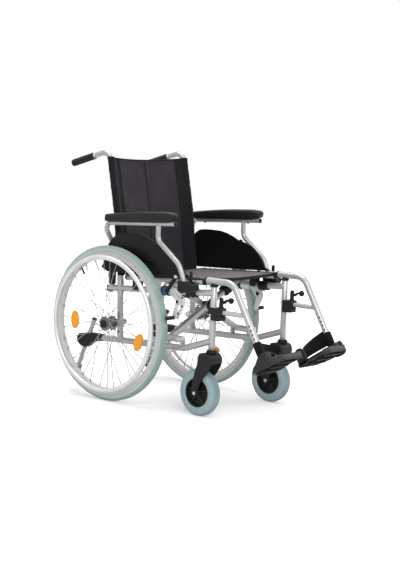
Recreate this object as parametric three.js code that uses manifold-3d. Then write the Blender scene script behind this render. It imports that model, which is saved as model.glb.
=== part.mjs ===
// Folding wheelchair: tubular side frames on a cross brace, swing-away footrests,
// flip-back armrests, knee-lever brakes, swivelling casters and anti-tip wheels.
// Millimetres, +Z up. The user faces -Y, so +X is the user's left.
// Each side is written once with x as the distance outwards, and the right side mirrors it.
// Places along y are counted from the rear axle, forwards is negative.
import * as THREE from "three";
import { mergeVertices } from "three/addons/utils/BufferGeometryUtils.js";
import Module from "manifold-3d";

const wasm = await Module();
wasm.setup();

// Fits
const seatGap = 0.3;
const runningGap = 0.25;
const cutOverrun = 4;
const weldDepth = 4;
const weldTolerance = 1e-3;

// Counts
const tubeSides = 8;
const roundSides = 12;
const smallSides = 6;
const tabSides = 4;
const handrimTubeSides = 8;
const spokeSides = 3;
const wheelSides = 36;
const handrimSides = 32;
const casterSides = 24;
const bendStepAngle = THREE.MathUtils.degToRad(22);

// Side frame
const frameHalfWidth = 217;
const railRadius = 12.5;
const upperRailHeight = 440;
const upperRailPitch = THREE.MathUtils.degToRad(3.5);
const upperRailRearY = 62;
const lowerRailHeight = 234;
const lowerRailPitch = THREE.MathUtils.degToRad(1.9);
const lowerRailRearY = 85;
const lowerRailKneeY = -345;
const lowerRailKneeRadius = 150;
const lowerRailFrontHeight = 291;
const frontPostY = -482;
const frontPostBottom = 256;
const frontPostTop = 494;
const rearPostY = -7;
const rearPostTop = 528;
const rearPostLean = THREE.MathUtils.degToRad(2.3);
const collarRadius = 21;
const collarHeight = 11;

// Armrest receiver at the back of the side frame
const armPivotY = 48;
const receiverRadius = 10;
const receiverSleeveRadius = 15;
const receiverSleeveBottom = 453;
const receiverSleeveTop = 479;
const armPivotRise = 15;
const armPivotHeight = receiverSleeveTop + armPivotRise;
const armEyeRadius = 10;
const armPinRadius = 5;
const armEyeHalfWidth = 9.5;
const armEarThickness = 4;
const armStemRadius = 7;

// Seat rails and their saddles
const seatRailRadius = 11;
const seatRailHeight = 485.5;
const seatRailPitch = THREE.MathUtils.degToRad(2.8);
const seatRailRearY = -34;
const seatRailFrontY = -436;
const saddleLength = 30;
const saddleHalfWidth = 17;
const saddleRearY = -92;
const saddleFrontY = -328;

// Cross brace
const braceFrontY = -281;
const barDepth = 24;
const barGap = 2;
const barHeight = 22;
const bracePivotHeight = 277;
const pivotTubeFrontY = -332;
const pivotTubeRearY = -228;
const pivotTubeRadius = 13;
const pivotPinRadius = 6;
const lugThickness = 6;
const braceBoltRadius = 7;
const braceCapRadius = 19;
const braceCapThickness = 8;
const braceWasherRadius = 11.4;
const braceBlockPlace = 0.75;
const braceBlockLength = 46;
const braceBlockWall = 7;
const braceBlockDepth = 36;

// Rear wheel
const wheelRadius = 305;
const axleHeight = 305;
const wheelHalfTrack = 279;
const tyreHalfWidth = 18;
const tyreTreadHalfWidth = 7;
const rimOuterRadius = 279;
const rimInnerRadius = 259;
const rimHalfWidth = 12;
const hubFlangeRadius = 30;
const hubFlangeThickness = 6;
const hubHalfLength = 27;
const hubFlangeInset = 3;
const hubBarrelRadius = 17;
const spokesPerFlange = 18;
const spokeRadius = 1.3;
const spokeLaceAngle = THREE.MathUtils.degToRad(55);
const spokeOffset = 1.5;
const spokeRimOffset = 4.5;
const axleRadius = 6;
const axleInnerX = 192;
const axleCapRadius = 15;
const axleCapThickness = 7;
const axleNutRadius = 11;
const axleNutThickness = 7;
const axleSleeveRadius = 15;
const axleSleeveInnerX = 200;
const axleSleeveOuterX = 238;
const axleSpacerRadius = 9;
const handrimRadius = 261;
const handrimTubeRadius = 9.5;
const handrimX = 317;
const handrimTabs = 6;
const handrimTabRadius = 4;
const handrimTabTurn = THREE.MathUtils.degToRad(14);

// Caster
const casterRadius = 89;
const casterHalfWidth = 23;
const casterAxleY = -432;
const casterHubRadius = 55;
const casterHubHalfWidth = 22;
const casterHubWebHalf = 8;
const casterHubBossRadius = 15;
const casterHubRimInner = 47;
const casterBoltRadius = 5;
const casterTreadHalf = 11;
const forkLegInnerX = 27;
const forkLegThickness = 8;
const forkCrownBottom = 203;
const forkCrownTop = 243.5;
const forkEyeRadius = 15;
const forkEyeCorners = 4;
const stemRadius = 8;
const stemDepth = 46;
const boltHeadRadius = 7.5;
const boltHeadThickness = 3;
// Shares of the fork's trail behind the post and of its drop below the crown.
const forkFrontShares = [
  [0.56, 0],
  [-0.1, 0],
  [-0.46, 0.09],
  [-0.5, 0.2],
  [-0.2, 0.38],
  [0.24, 0.6],
  [0.62, 0.82],
];
const forkRearShares = [
  [1.27, 0.78],
  [1.08, 0.5],
  [0.78, 0.24],
];

// Back cane and push handle
const caneRadius = 11;
const caneSpigotBottom = 486;
const caneKneeY = 31;
const caneKneeHeight = 735;
const caneKneeRadius = 300;
const caneTopY = 81;
const caneTopHeight = 979;
const caneTopRadius = 42;
const handleEndY = 282;
const handleEndHeight = 921;
const gripRadius = 14.5;
const gripLength = 124;
const gripEndThickness = 4;

// Back cover
const backBottom = 534;
const backTop = 946;
const backSag = 28;
const backTopDip = 9;
const backThickness = 4;
const coverSleeveWall = 3;
const backColumns = 16;
const backRows = 5;

// Seat cover
const seatRearY = -38;
const seatFrontY = -439;
const seatThickness = 4;
const seatSag = 16;
const seatEdgeOverhang = 5;
const seatColumns = 12;
const seatRows = 5;

// Armrest
const armX = 257;
const armTubeRadius = 9.5;
const armTopRearHeight = 697;
const armTopFrontY = -312;
const armTopFrontHeight = 717;
const armRearY = 47;
const armRearBendRadius = 24;
const armOffsetTop = 668;
const armOffsetBottom = 614;
const armOffsetRadius = 34;
const armLegY = -227;
const armLegKneeHeight = 648;
const armLegKneeRadius = 40;
const armLegShinY = -338;
const armLegShinHeight = 566;
const armLegShinRadius = 70;
const armLegFootY = -366;
const armLegFootHeight = 506;
const armLegFootRadius = 24;
const armLegEnd = 482;
const padHalfWidth = 22;
const padX = 259.2;
const padRearY = 46;
const padFrontY = -319;
const padThickness = 37;
const padRearShare = 0.7;
const padRearReach = 0.625;
const padNoseShare = 0.5;
const padNoseLift = 10;
const padNoseLength = 60;
const padNoseNarrowing = 0.25;
const padTuck = 10;
const padEdgePower = 4;
const padColumns = 6;
const padRows = 8;
const panelX = 241.5;
const panelThickness = 4;
const panelBossRadius = 7;
const panelFrontBossHeight = 628;
const panelRearBossHeight = 596;
const panelBackReach = 7;
const panelFrontY = -358;
const panelBottom = 505;
const panelTop = 657;
const panelRise = 0.035;
// Shares of the panel's length and height, from its lower rear corner.
const panelShares = [
  [0, 0],
  [0, 0.36],
  [0.02, 0.7],
  [0.09, 0.88],
  [0.15, 0.985],
  [0.24, 1],
  [0.42, 0.98],
  [0.55, 0.89],
  [0.66, 0.75],
  [0.79, 0.66],
  [0.86, 0.54],
  [0.94, 0.33],
  [1, 0.06],
  [1, 0],
];

// Armrest lock
const lockInnerX = 234;
const lockOuterX = 271;
const lockRearY = -350;
const lockFrontY = -424;
const lockBottom = 462;
const lockTop = 507;
const lockSlotSlack = 3;
const lockSlotBottom = 479;
const lockRingRadius = 19;
const lockRingRearY = -357;
const lockRingFrontY = -401;
const lockLeverX = 250;
const lockLeverY = -394;
const lockLeverHalfWidth = 5;
const lockLeverHalfThickness = 4;
const lockLeverTop = 545;
const lockLeverPivotDrop = 9;
const lockLeverPivotHeight = lockTop - lockLeverPivotDrop;
const lockLeverEyeRadius = 6;
const lockLeverPinRadius = 2.5;
const lockLeverSlotDepth = 20;

// Hanger
const hangerRadius = 12.5;
const hangerHeight = 515;
const hangerRearY = -447;
const hangerKneeY = -573;
const hangerKneeRadius = 60;
const hangerEndY = -692;
const hangerEndHeight = 311;
const hangerPinRadius = 8;
const hangerPinDepth = 42;
const hangerCapRadius = 15;
const crossTubeRadius = 9.5;
const crossTubeHeight = 402;
const latchBlockRearY = -470;
const latchBlockFrontY = -531;
const latchBlockBottom = 370;
const latchBlockTop = 418;
const latchBlockHalfWidth = 19;
const latchStepY = -484;
const latchStepHeight = 393;
const latchLeverY = -519;
const latchLeverRadius = 8;
const latchLeverTop = 454;
const latchArmRadius = 4;
const latchBallRadius = 11.5;
const latchBallY = -565;
const latchBallHeight = 450;
const crossTubeInsert = 14;
const latchPinRadius = 4;
const latchPinDepth = 5;

// Footrest
const footTubeRadius = 9;
const footTubeInsert = 130;
const footBoreDepth = 150;
const plateTilt = THREE.MathUtils.degToRad(32.5);
const plateRearY = -676;
const plateRearHeight = 177;
const plateInnerX = 66;
const plateOuterX = 240;
const plateDepth = 158;
const plateThickness = 20;
const plateWallThickness = 9;
const plateOuterRearShare = 0.3;
const plateOuterFrontShare = 0.7;
const plateCorner = 22;
const platePinHeight = 38;
const plateSleeveRadius = 15;
const plateWallStart = 46;
const plateWallHeight = 56;
const plateSleeveStart = 101;
const plateSleeveEnd = 136;
const platePinEnd = 131;
const platePinBendRadius = 16;
const plateTabHeight = 70;
const plateTabStart = 4;
const plateTabEnd = 58;
const plateTabThickness = 8;
const plateRibHeight = 7;
const plateRibThickness = 5;
const plateRibCount = 3;
const strapHeight = 54;
const strapThickness = 3;
const strapLowEdge = 262;
const strapTubeWall = 2.5;
const strapBowY = 22;
const strapSagShare = 0.12;
const strapOuterY = -704;
const strapColumns = 12;

// Brake
const brakeRingRadius = 20;
const brakeRingRearY = -230;
const brakeRingFrontY = -264;
const brakeSleeveRadius = 16.5;
const brakeSleeveFrontY = -309;
const brakePlateFrontY = -345;
const brakePlateInnerX = 236;
const brakePlateThickness = 4;
const brakeLeverX = 254;
const brakePivotY = -282;
const brakePivotHeight = 462;
const brakeLeverHubRadius = 9;
const brakeLeverHalfThickness = 4;
const brakeHandleRadius = 7.5;
const brakeHandleTopY = -325;
const brakeHandleTopHeight = 522;
const brakePinRadius = 4;
const shoePivotY = -330;
const shoePivotHeight = 424;
const shoeArmHubRadius = 8;
const shoeArmX = 248;
const shoeArmHalfThickness = 3.5;
const shoeRadius = 8;
const shoeY = -316;
const shoeHeight = 362;
const shoeOuterX = 294;

// Tip lever and anti-tip wheel
const tipSpigotRadius = 9;
const tipSpigotLength = 34;
const tipHalfWidth = 15;
// Shares of the lever's reach back, and of the rail's radius above its top.
const tipShares = [
  [0.35, 0.15],
  [0.9, -0.9],
  [0.94, -3],
  [0.8, -4.6],
  [0.58, -5],
  [0.4, -3],
];
const antiTipRadius = 9;
const antiTipTopY = 141;
const antiTipTopHeight = 297;
const antiTipWheelY = 238;
const antiTipWheelHeight = 70;
const antiTipWheelRadius = 25;
const antiTipWheelHalfWidth = 11;
const antiTipEarThickness = 4;
const antiTipTubeEndLift = 36;
const antiTipBoltRadius = 4;
const antiTipCapRadius = 11;
const antiTipCapHeight = 8;

// Finishes
const finish = (color, roughness, metalness) =>
  new THREE.MeshStandardMaterial({ color, roughness, metalness });
const silver = finish(0xc4c5c8, 0.35, 0.7);
const chrome = finish(0xd7d8da, 0.2, 0.9);
const rimPaint = finish(0xdedad0, 0.4, 0.4);
const tyreRubber = finish(0xb3c2be, 0.8, 0);
const casterRubber = finish(0x8fa6aa, 0.8, 0);
const blackPlastic = finish(0x1d1d1f, 0.5, 0);
const greyPlastic = finish(0x3d3b40, 0.6, 0);
const grip = finish(0x202022, 0.85, 0);
const backFabric = finish(0x3b373c, 0.9, 0);
const seatFabric = finish(0x6f676e, 0.8, 0);
const webbing = finish(0x141416, 0.9, 0);

// Solids
function solidOf(geometry) {
  const bare = geometry.clone();
  bare.deleteAttribute("normal");
  bare.deleteAttribute("uv");
  const merged = mergeVertices(bare, weldTolerance);
  const triangles = [];
  const source = merged.index.array;
  for (let i = 0; i < source.length; i += 3) {
    const [a, b, c] = [source[i], source[i + 1], source[i + 2]];
    if (a !== b && b !== c && c !== a) triangles.push(a, b, c);
  }
  const build = (triVerts) =>
    new wasm.Manifold(
      new wasm.Mesh({
        numProp: 3,
        vertProperties: merged.attributes.position.array,
        triVerts: new Uint32Array(triVerts),
      }),
    );
  const made = build(triangles);
  if (made.volume() > 0) return made;
  for (let i = 0; i < triangles.length; i += 3)
    [triangles[i + 1], triangles[i + 2]] = [triangles[i + 2], triangles[i + 1]];
  return build(triangles);
}
const join = (...solids) => solids.reduce((whole, piece) => whole.add(piece));
const cut = (solid, ...tools) =>
  tools.reduce((whole, tool) => whole.subtract(tool), solid);

function meshOf(name, solid, material) {
  const data = solid.getMesh();
  const geometry = new THREE.BufferGeometry();
  geometry.setAttribute(
    "position",
    new THREE.BufferAttribute(new Float32Array(data.vertProperties), 3),
  );
  geometry.setIndex(new THREE.BufferAttribute(new Uint32Array(data.triVerts), 1));
  const faceted = geometry.toNonIndexed();
  faceted.computeVertexNormals();
  const mesh = new THREE.Mesh(faceted, material);
  mesh.name = name;
  return mesh;
}

const point = (x, y, z) => new THREE.Vector3(x, y, z);
const alongX = point(1, 0, 0);
const alongY = point(0, 1, 0);
const alongZ = point(0, 0, 1);

// A fixed or sliding fit keeps both polygons' flats parallel, a gap apart.
const seatBore = (radius, gap = seatGap) => radius + gap / Math.cos(Math.PI / tubeSides);
// The distance from a tube's axis to its flats.
const flatOf = (radius) => radius * Math.cos(Math.PI / tubeSides);
// A bore that turns on its shaft clears the shaft's corners at every angle.
const turnBore = (radius, sides = roundSides) =>
  (radius + runningGap) / Math.cos(Math.PI / sides);

function rod(from, to, radius, sides = tubeSides, endRadius = radius) {
  const length = from.distanceTo(to);
  const direction = to.clone().sub(from).normalize();
  const turn = Math.PI / sides;
  const geometry = new THREE.CylinderGeometry(
    endRadius,
    radius,
    length,
    sides,
    1,
    false,
    turn,
  );
  geometry.applyQuaternion(
    new THREE.Quaternion().setFromUnitVectors(alongY, direction),
  );
  geometry.translate(...from.clone().add(to).multiplyScalar(0.5).toArray());
  return solidOf(geometry);
}

function ball(centre, radius, sides = roundSides) {
  const geometry = new THREE.SphereGeometry(radius, sides, sides / 2);
  return solidOf(geometry.translate(centre.x, centre.y, centre.z));
}

function block(low, high) {
  const size = high.clone().sub(low);
  const centre = high.clone().add(low).multiplyScalar(0.5);
  const geometry = new THREE.BoxGeometry(
    Math.abs(size.x),
    Math.abs(size.y),
    Math.abs(size.z),
  );
  return solidOf(geometry.translate(centre.x, centre.y, centre.z));
}

// A profile of [radius, place along the axis] turned round an axis along X or Z.
function turned(profile, axis, centre, sides) {
  const outline = profile.map(([radius, place]) => new THREE.Vector2(radius, place));
  const geometry = new THREE.LatheGeometry(outline, sides, Math.PI / sides);
  geometry.applyQuaternion(
    new THREE.Quaternion().setFromUnitVectors(alongY, axis),
  );
  return solidOf(geometry.translate(centre.x, centre.y, centre.z));
}

// An outline of [y, z] made thick along X.
function sidePlate(outline, lowX, highX) {
  const shape = new THREE.Shape(outline.map(([y, z]) => new THREE.Vector2(y, z)));
  const geometry = new THREE.ExtrudeGeometry(shape, {
    depth: highX - lowX,
    bevelEnabled: false,
  });
  geometry.applyMatrix4(new THREE.Matrix4().makeBasis(alongY, alongZ, alongX));
  return solidOf(geometry.translate(lowX, 0, 0));
}

// A polyline with its inner corners rounded: corners are { at, radius }.
class Route extends THREE.Curve {
  constructor(corners) {
    super();
    this.stops = [corners[0].at];
    for (let i = 1; i < corners.length - 1; i += 1)
      this.stops.push(...roundedCorner(corners[i - 1].at, corners[i], corners[i + 1].at));
    this.stops.push(corners[corners.length - 1].at);
    this.steps = this.stops.length - 1;
  }
  getPoint(t, target = new THREE.Vector3()) {
    const place = t * this.steps;
    const index = Math.min(Math.floor(place), this.steps - 1);
    return target.lerpVectors(this.stops[index], this.stops[index + 1], place - index);
  }
  getPointAt(t, target) {
    return this.getPoint(t, target);
  }
  getSpacedPoints(count) {
    return Array.from({ length: count + 1 }, (_, i) => this.getPoint(i / count));
  }
  getTangentAt(t, target = new THREE.Vector3()) {
    const index = Math.round(t * this.steps);
    const before = this.stops[Math.max(index - 1, 0)];
    const here = this.stops[index];
    const after = this.stops[Math.min(index + 1, this.steps)];
    const arriving = here.clone().sub(before).normalize();
    const leaving = after.clone().sub(here).normalize();
    return target.copy(arriving).add(leaving).normalize();
  }
}

function roundedCorner(before, { at, radius }, after) {
  const arriving = at.clone().sub(before).normalize();
  const leaving = after.clone().sub(at).normalize();
  const turn = arriving.angleTo(leaving);
  const reach = radius * Math.tan(turn / 2);
  const start = at.clone().addScaledVector(arriving, -reach);
  const inward = leaving.clone().sub(arriving).normalize();
  const centre = at.clone().addScaledVector(inward, radius / Math.cos(turn / 2));
  const axis = arriving.clone().cross(leaving).normalize();
  const steps = Math.max(1, Math.ceil(turn / bendStepAngle));
  return Array.from({ length: steps + 1 }, (_, i) =>
    start.clone().sub(centre).applyAxisAngle(axis, (turn * i) / steps).add(centre),
  );
}

const corner = (x, y, z, radius = 0) => ({ at: point(x, y, z), radius });

function tube(corners, radius, sides = tubeSides) {
  const section = new THREE.Shape(
    Array.from({ length: sides }, (_, i) => {
      const angle = ((i + 0.5) * 2 * Math.PI) / sides;
      return new THREE.Vector2(radius * Math.cos(angle), radius * Math.sin(angle));
    }),
  );
  const route = new Route(corners);
  return solidOf(
    new THREE.ExtrudeGeometry(section, { steps: route.steps, extrudePath: route }),
  );
}

// A closed solid between two skins, each a function of u and v from 0 to 1.
function layered(columns, rows, low, high) {
  const positions = [];
  const index = [];
  const skin = (surface) => {
    for (let row = 0; row <= rows; row += 1)
      for (let column = 0; column <= columns; column += 1)
        positions.push(...surface(column / columns, row / rows).toArray());
  };
  skin(low);
  skin(high);
  const width = columns + 1;
  const second = width * (rows + 1);
  const face = (a, b, c, d) => index.push(a, b, c, a, c, d);
  for (let row = 0; row < rows; row += 1)
    for (let column = 0; column < columns; column += 1) {
      const a = row * width + column;
      face(a, a + width, a + width + 1, a + 1);
      face(second + a, second + a + 1, second + a + width + 1, second + a + width);
    }
  for (let column = 0; column < columns; column += 1) {
    const last = rows * width + column;
    face(column, column + 1, second + column + 1, second + column);
    face(last, second + last, second + last + 1, last + 1);
  }
  for (let row = 0; row < rows; row += 1) {
    const a = row * width;
    const b = a + columns;
    face(a, second + a, second + a + width, a + width);
    face(b, b + width, second + b + width, second + b);
  }
  const geometry = new THREE.BufferGeometry();
  geometry.setAttribute("position", new THREE.Float32BufferAttribute(positions, 3));
  geometry.setIndex(index);
  return solidOf(geometry);
}

// Places on the rails
const upperRailAt = (y) =>
  point(frameHalfWidth, y, upperRailHeight - y * Math.tan(upperRailPitch));
const lowerRailAt = (y) =>
  point(frameHalfWidth, y, lowerRailHeight - y * Math.tan(lowerRailPitch));
const seatRailAt = (y) =>
  point(frameHalfWidth, y, seatRailHeight - y * Math.tan(seatRailPitch));
const rearPostAt = (z) =>
  point(frameHalfWidth, rearPostY + (z - lowerRailHeight) * Math.tan(rearPostLean), z);

function sideFrame() {
  const lowerRail = tube(
    [
      { at: lowerRailAt(lowerRailRearY) },
      { at: lowerRailAt(lowerRailKneeY), radius: lowerRailKneeRadius },
      corner(frameHalfWidth, frontPostY, lowerRailFrontHeight),
    ],
    railRadius,
  );
  const upperRail = rod(upperRailAt(upperRailRearY), upperRailAt(frontPostY), railRadius);
  const frontPost = rod(
    point(frameHalfWidth, frontPostY, frontPostBottom),
    point(frameHalfWidth, frontPostY, frontPostTop),
    railRadius,
  );
  const collar = rod(
    point(frameHalfWidth, frontPostY, frontPostBottom - collarHeight),
    point(frameHalfWidth, frontPostY, frontPostBottom),
    collarRadius,
    roundSides,
  );
  const rearPost = rod(rearPostAt(lowerRailHeight), rearPostAt(rearPostTop), railRadius);
  const receiver = rod(
    point(frameHalfWidth, armPivotY, upperRailAt(armPivotY).z),
    point(frameHalfWidth, armPivotY, receiverSleeveTop),
    receiverRadius,
  );
  const receiverSleeve = rod(
    point(frameHalfWidth, armPivotY, receiverSleeveBottom),
    point(frameHalfWidth, armPivotY, receiverSleeveTop),
    receiverSleeveRadius,
  );
  const stem = rod(
    point(frameHalfWidth, armPivotY, receiverSleeveTop - weldDepth),
    point(frameHalfWidth, armPivotY, armPivotHeight - armEyeRadius - armEarThickness / 2),
    armStemRadius,
    smallSides,
  );
  const axleSleeve = rod(
    point(axleSleeveInnerX, 0, axleHeight),
    point(axleSleeveOuterX, 0, axleHeight),
    axleSleeveRadius,
    roundSides,
  );
  const frame = join(
    lowerRail,
    upperRail,
    frontPost,
    collar,
    rearPost,
    receiver,
    receiverSleeve,
    stem,
    axleSleeve,
    ...armEars(),
    ...braceLugs(),
    ...[saddleRearY, saddleFrontY].map(saddle),
  );
  return cut(
    frame,
    rod(
      rearPostAt(caneSpigotBottom - seatGap),
      rearPostAt(rearPostTop + cutOverrun),
      seatBore(caneRadius),
    ),
    rod(
      point(axleSleeveInnerX - cutOverrun, 0, axleHeight),
      point(axleSleeveOuterX + cutOverrun, 0, axleHeight),
      seatBore(axleRadius),
    ),
    rod(
      point(frameHalfWidth, frontPostY, frontPostBottom - collarHeight - cutOverrun),
      point(frameHalfWidth, frontPostY, forkCrownTop + stemDepth + seatGap),
      turnBore(stemRadius),
      roundSides,
    ),
    rod(
      point(frameHalfWidth, frontPostY, frontPostTop - hangerPinDepth - seatGap),
      point(frameHalfWidth, frontPostY, frontPostTop + cutOverrun),
      turnBore(hangerPinRadius),
      roundSides,
    ),
    rod(
      lowerRailAt(lowerRailRearY - tipSpigotLength - seatGap),
      lowerRailAt(lowerRailRearY + cutOverrun),
      seatBore(tipSpigotRadius),
    ),
  );
}

// Two ears on the stem hold the pin that the armrest turns on.
function armEars() {
  const inner = armEyeHalfWidth + runningGap;
  const outer = inner + armEarThickness;
  const floor = armPivotHeight - armEyeRadius - armEarThickness;
  const outline = [
    [armPivotY - armEyeRadius, floor],
    [armPivotY + armEyeRadius, floor],
    [armPivotY + armEyeRadius, armPivotHeight],
    [armPivotY + armPinRadius, armPivotHeight + armEyeRadius],
    [armPivotY - armPinRadius, armPivotHeight + armEyeRadius],
    [armPivotY - armEyeRadius, armPivotHeight],
  ];
  const yoke = cut(
    sidePlate(outline, frameHalfWidth - outer, frameHalfWidth + outer),
    block(
      point(
        frameHalfWidth - inner,
        armPivotY - armEyeRadius - cutOverrun,
        floor + armEarThickness - runningGap,
      ),
      point(
        frameHalfWidth + inner,
        armPivotY + armEyeRadius + cutOverrun,
        armPivotHeight + armEyeRadius + cutOverrun,
      ),
    ),
  );
  const pin = rod(
    point(frameHalfWidth - outer, armPivotY, armPivotHeight),
    point(frameHalfWidth + outer, armPivotY, armPivotHeight),
    armPinRadius,
    smallSides,
  );
  return [yoke, pin];
}

// Lugs welded on the lower rail carry the pin of the brace's pivot tube.
function braceLugs() {
  const lug = (nearY, farY) =>
    join(
      rod(
        point(frameHalfWidth, nearY, bracePivotHeight),
        point(frameHalfWidth, farY, bracePivotHeight),
        pivotTubeRadius,
      ),
      block(
        point(frameHalfWidth - pivotPinRadius, nearY, lowerRailAt(nearY).z),
        point(frameHalfWidth + pivotPinRadius, farY, bracePivotHeight),
      ),
    );
  const frontEnd = pivotTubeFrontY - runningGap;
  const rearEnd = pivotTubeRearY + runningGap;
  const pin = rod(
    point(frameHalfWidth, frontEnd - lugThickness, bracePivotHeight),
    point(frameHalfWidth, rearEnd + lugThickness, bracePivotHeight),
    pivotPinRadius,
  );
  return [lug(frontEnd - lugThickness, frontEnd), lug(rearEnd, rearEnd + lugThickness), pin];
}

// A saddle on the upper rail that a seat rail drops into from above.
function saddle(y) {
  const rail = upperRailAt(y);
  const seat = seatRailAt(y);
  const body = block(
    point(frameHalfWidth - saddleHalfWidth, y - saddleLength / 2, rail.z),
    point(frameHalfWidth + saddleHalfWidth, y + saddleLength / 2, seat.z),
  );
  const trough = join(
    rod(
      seatRailAt(y - saddleLength),
      seatRailAt(y + saddleLength),
      seatBore(seatRailRadius),
    ),
    block(
      point(
        frameHalfWidth - seatRailRadius - seatGap,
        y - saddleLength,
        seat.z,
      ),
      point(
        frameHalfWidth + seatRailRadius + seatGap,
        y + saddleLength,
        seat.z + seatRailRadius,
      ),
    ),
  );
  return cut(body, trough);
}

const canePath = [
  { at: rearPostAt(caneSpigotBottom) },
  corner(frameHalfWidth, caneKneeY, caneKneeHeight, caneKneeRadius),
  corner(frameHalfWidth, caneTopY, caneTopHeight, caneTopRadius),
  corner(frameHalfWidth, handleEndY, handleEndHeight),
];

// The cane leaves the rear post along the bore's own line before it leans back.
function caneCorners(side = 1) {
  const [foot, ...rest] = canePath;
  const leave = { at: rearPostAt(rearPostTop + weldDepth), radius: caneTopRadius };
  return [foot, leave, ...rest].map(({ at, radius }) => ({
    at: at.clone().setX(side * at.x),
    radius,
  }));
}

function pushGrip() {
  const end = canePath[3].at;
  const back = end.clone().sub(canePath[2].at).normalize();
  const place = (distance) => end.clone().addScaledVector(back, distance);
  return cut(
    rod(place(-gripLength), place(gripEndThickness), gripRadius, roundSides),
    rod(place(-gripLength - cutOverrun), place(seatGap), seatBore(caneRadius)),
  );
}

function wheelTyre(centre) {
  const outer = wheelRadius / Math.cos(Math.PI / wheelSides);
  const inner = rimOuterRadius + seatGap;
  const waist = (outer + inner) / 2;
  return turned(
    [
      [inner, -rimHalfWidth],
      [waist, -tyreHalfWidth],
      [outer, -tyreTreadHalfWidth],
      [outer, tyreTreadHalfWidth],
      [waist, tyreHalfWidth],
      [inner, rimHalfWidth],
      [inner, -rimHalfWidth],
    ],
    alongX,
    centre,
    wheelSides,
  );
}

function wheelRim(centre) {
  return turned(
    [
      [rimInnerRadius, -rimHalfWidth],
      [rimOuterRadius, -rimHalfWidth],
      [rimOuterRadius, rimHalfWidth],
      [rimInnerRadius, rimHalfWidth],
      [rimInnerRadius, -rimHalfWidth],
    ],
    alongX,
    centre,
    wheelSides,
  );
}

const spokeEndRadius = rimInnerRadius * Math.cos(Math.PI / wheelSides) - 2 * seatGap;
const wheelPoint = (centre, radius, angle, x) =>
  centre.clone().add(point(x, radius * Math.cos(angle), radius * Math.sin(angle)));

function wheelHub(centre) {
  const bore = turnBore(axleRadius);
  const flangeOut = hubHalfLength - hubFlangeInset;
  const flangeIn = flangeOut - hubFlangeThickness;
  const half = [
    [bore, hubHalfLength],
    [hubBarrelRadius, hubHalfLength],
    [hubBarrelRadius, flangeOut],
    [hubFlangeRadius, flangeOut],
    [hubFlangeRadius, flangeIn],
    [hubBarrelRadius, flangeIn],
  ];
  const profile = [...half, ...half.map(([radius, place]) => [radius, -place]).reverse()];
  const shell = turned([...profile, profile[0]], alongX, centre, roundSides);
  const spokes = [];
  for (const flange of [-1, 1])
    for (let i = 0; i < spokesPerFlange; i += 1) {
      const lead = (i % 2 === 0 ? 1 : -1) * flange;
      const hubAngle = (i * 2 * Math.PI) / spokesPerFlange + Math.PI / wheelSides;
      const rimAngle = hubAngle + lead * spokeLaceAngle;
      const hubPlace = flangeIn + hubFlangeThickness / 2 + lead * spokeOffset;
      const rimPlace = spokeRimOffset + lead * spokeOffset;
      spokes.push(
        rod(
          wheelPoint(centre, hubFlangeRadius - weldDepth, hubAngle, flange * hubPlace),
          wheelPoint(centre, spokeEndRadius, rimAngle, flange * rimPlace),
          spokeRadius,
          spokeSides,
        ),
      );
    }
  return join(shell, ...spokes);
}

function handrim(centre) {
  const place = handrimX - wheelHalfTrack;
  const section = Array.from({ length: handrimTubeSides + 1 }, (_, i) => {
    const angle = ((i + 0.5) * 2 * Math.PI) / handrimTubeSides;
    return [
      handrimRadius + handrimTubeRadius * Math.cos(angle),
      place + handrimTubeRadius * Math.sin(angle),
    ];
  });
  section[handrimTubeSides] = section[0];
  const ring = turned(section, alongX, centre, handrimSides);
  const tabs = Array.from({ length: handrimTabs }, (_, i) => {
    const angle = handrimTabTurn + (i * 2 * Math.PI) / handrimTabs;
    const radius = handrimRadius + handrimTabRadius;
    return rod(
      wheelPoint(centre, radius, angle, rimHalfWidth + seatGap),
      wheelPoint(centre, radius, angle, place),
      handrimTabRadius,
      tabSides,
    );
  });
  return join(ring, ...tabs);
}

function wheelAxle(centre) {
  const place = (x) => point(x, centre.y, centre.z);
  const capStart = wheelHalfTrack + hubHalfLength + seatGap;
  return join(
    rod(place(axleInnerX - axleNutThickness), place(capStart + seatGap), axleRadius),
    rod(
      place(axleInnerX - axleNutThickness),
      place(axleSleeveInnerX - seatGap),
      axleNutRadius,
      smallSides,
    ),
    rod(
      place(axleSleeveOuterX + seatGap),
      place(wheelHalfTrack - hubHalfLength - seatGap),
      axleSpacerRadius,
    ),
    rod(place(capStart), place(capStart + axleCapThickness), axleCapRadius, roundSides),
  );
}

const axleOfCaster = point(frameHalfWidth, casterAxleY, casterRadius);

function casterTyre(centre) {
  const outer = casterRadius / Math.cos(Math.PI / casterSides);
  const inner = casterHubRadius + seatGap;
  const waist = (outer + inner) / 2;
  return turned(
    [
      [inner, -casterHubHalfWidth],
      [waist, -casterHalfWidth],
      [outer, -casterTreadHalf],
      [outer, casterTreadHalf],
      [waist, casterHalfWidth],
      [inner, casterHubHalfWidth],
      [inner, -casterHubHalfWidth],
    ],
    alongX,
    centre,
    casterSides,
  );
}

function casterHub(centre) {
  const bore = turnBore(casterBoltRadius, casterSides);
  const half = [
    [bore, casterHubHalfWidth],
    [casterHubBossRadius, casterHubHalfWidth],
    [casterHubRimInner, casterHubWebHalf],
    [casterHubRadius, casterHubHalfWidth],
  ];
  const profile = [...half, ...half.map(([radius, place]) => [radius, -place]).reverse()];
  return turned([...profile, profile[0]], alongX, centre, casterSides);
}

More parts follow.
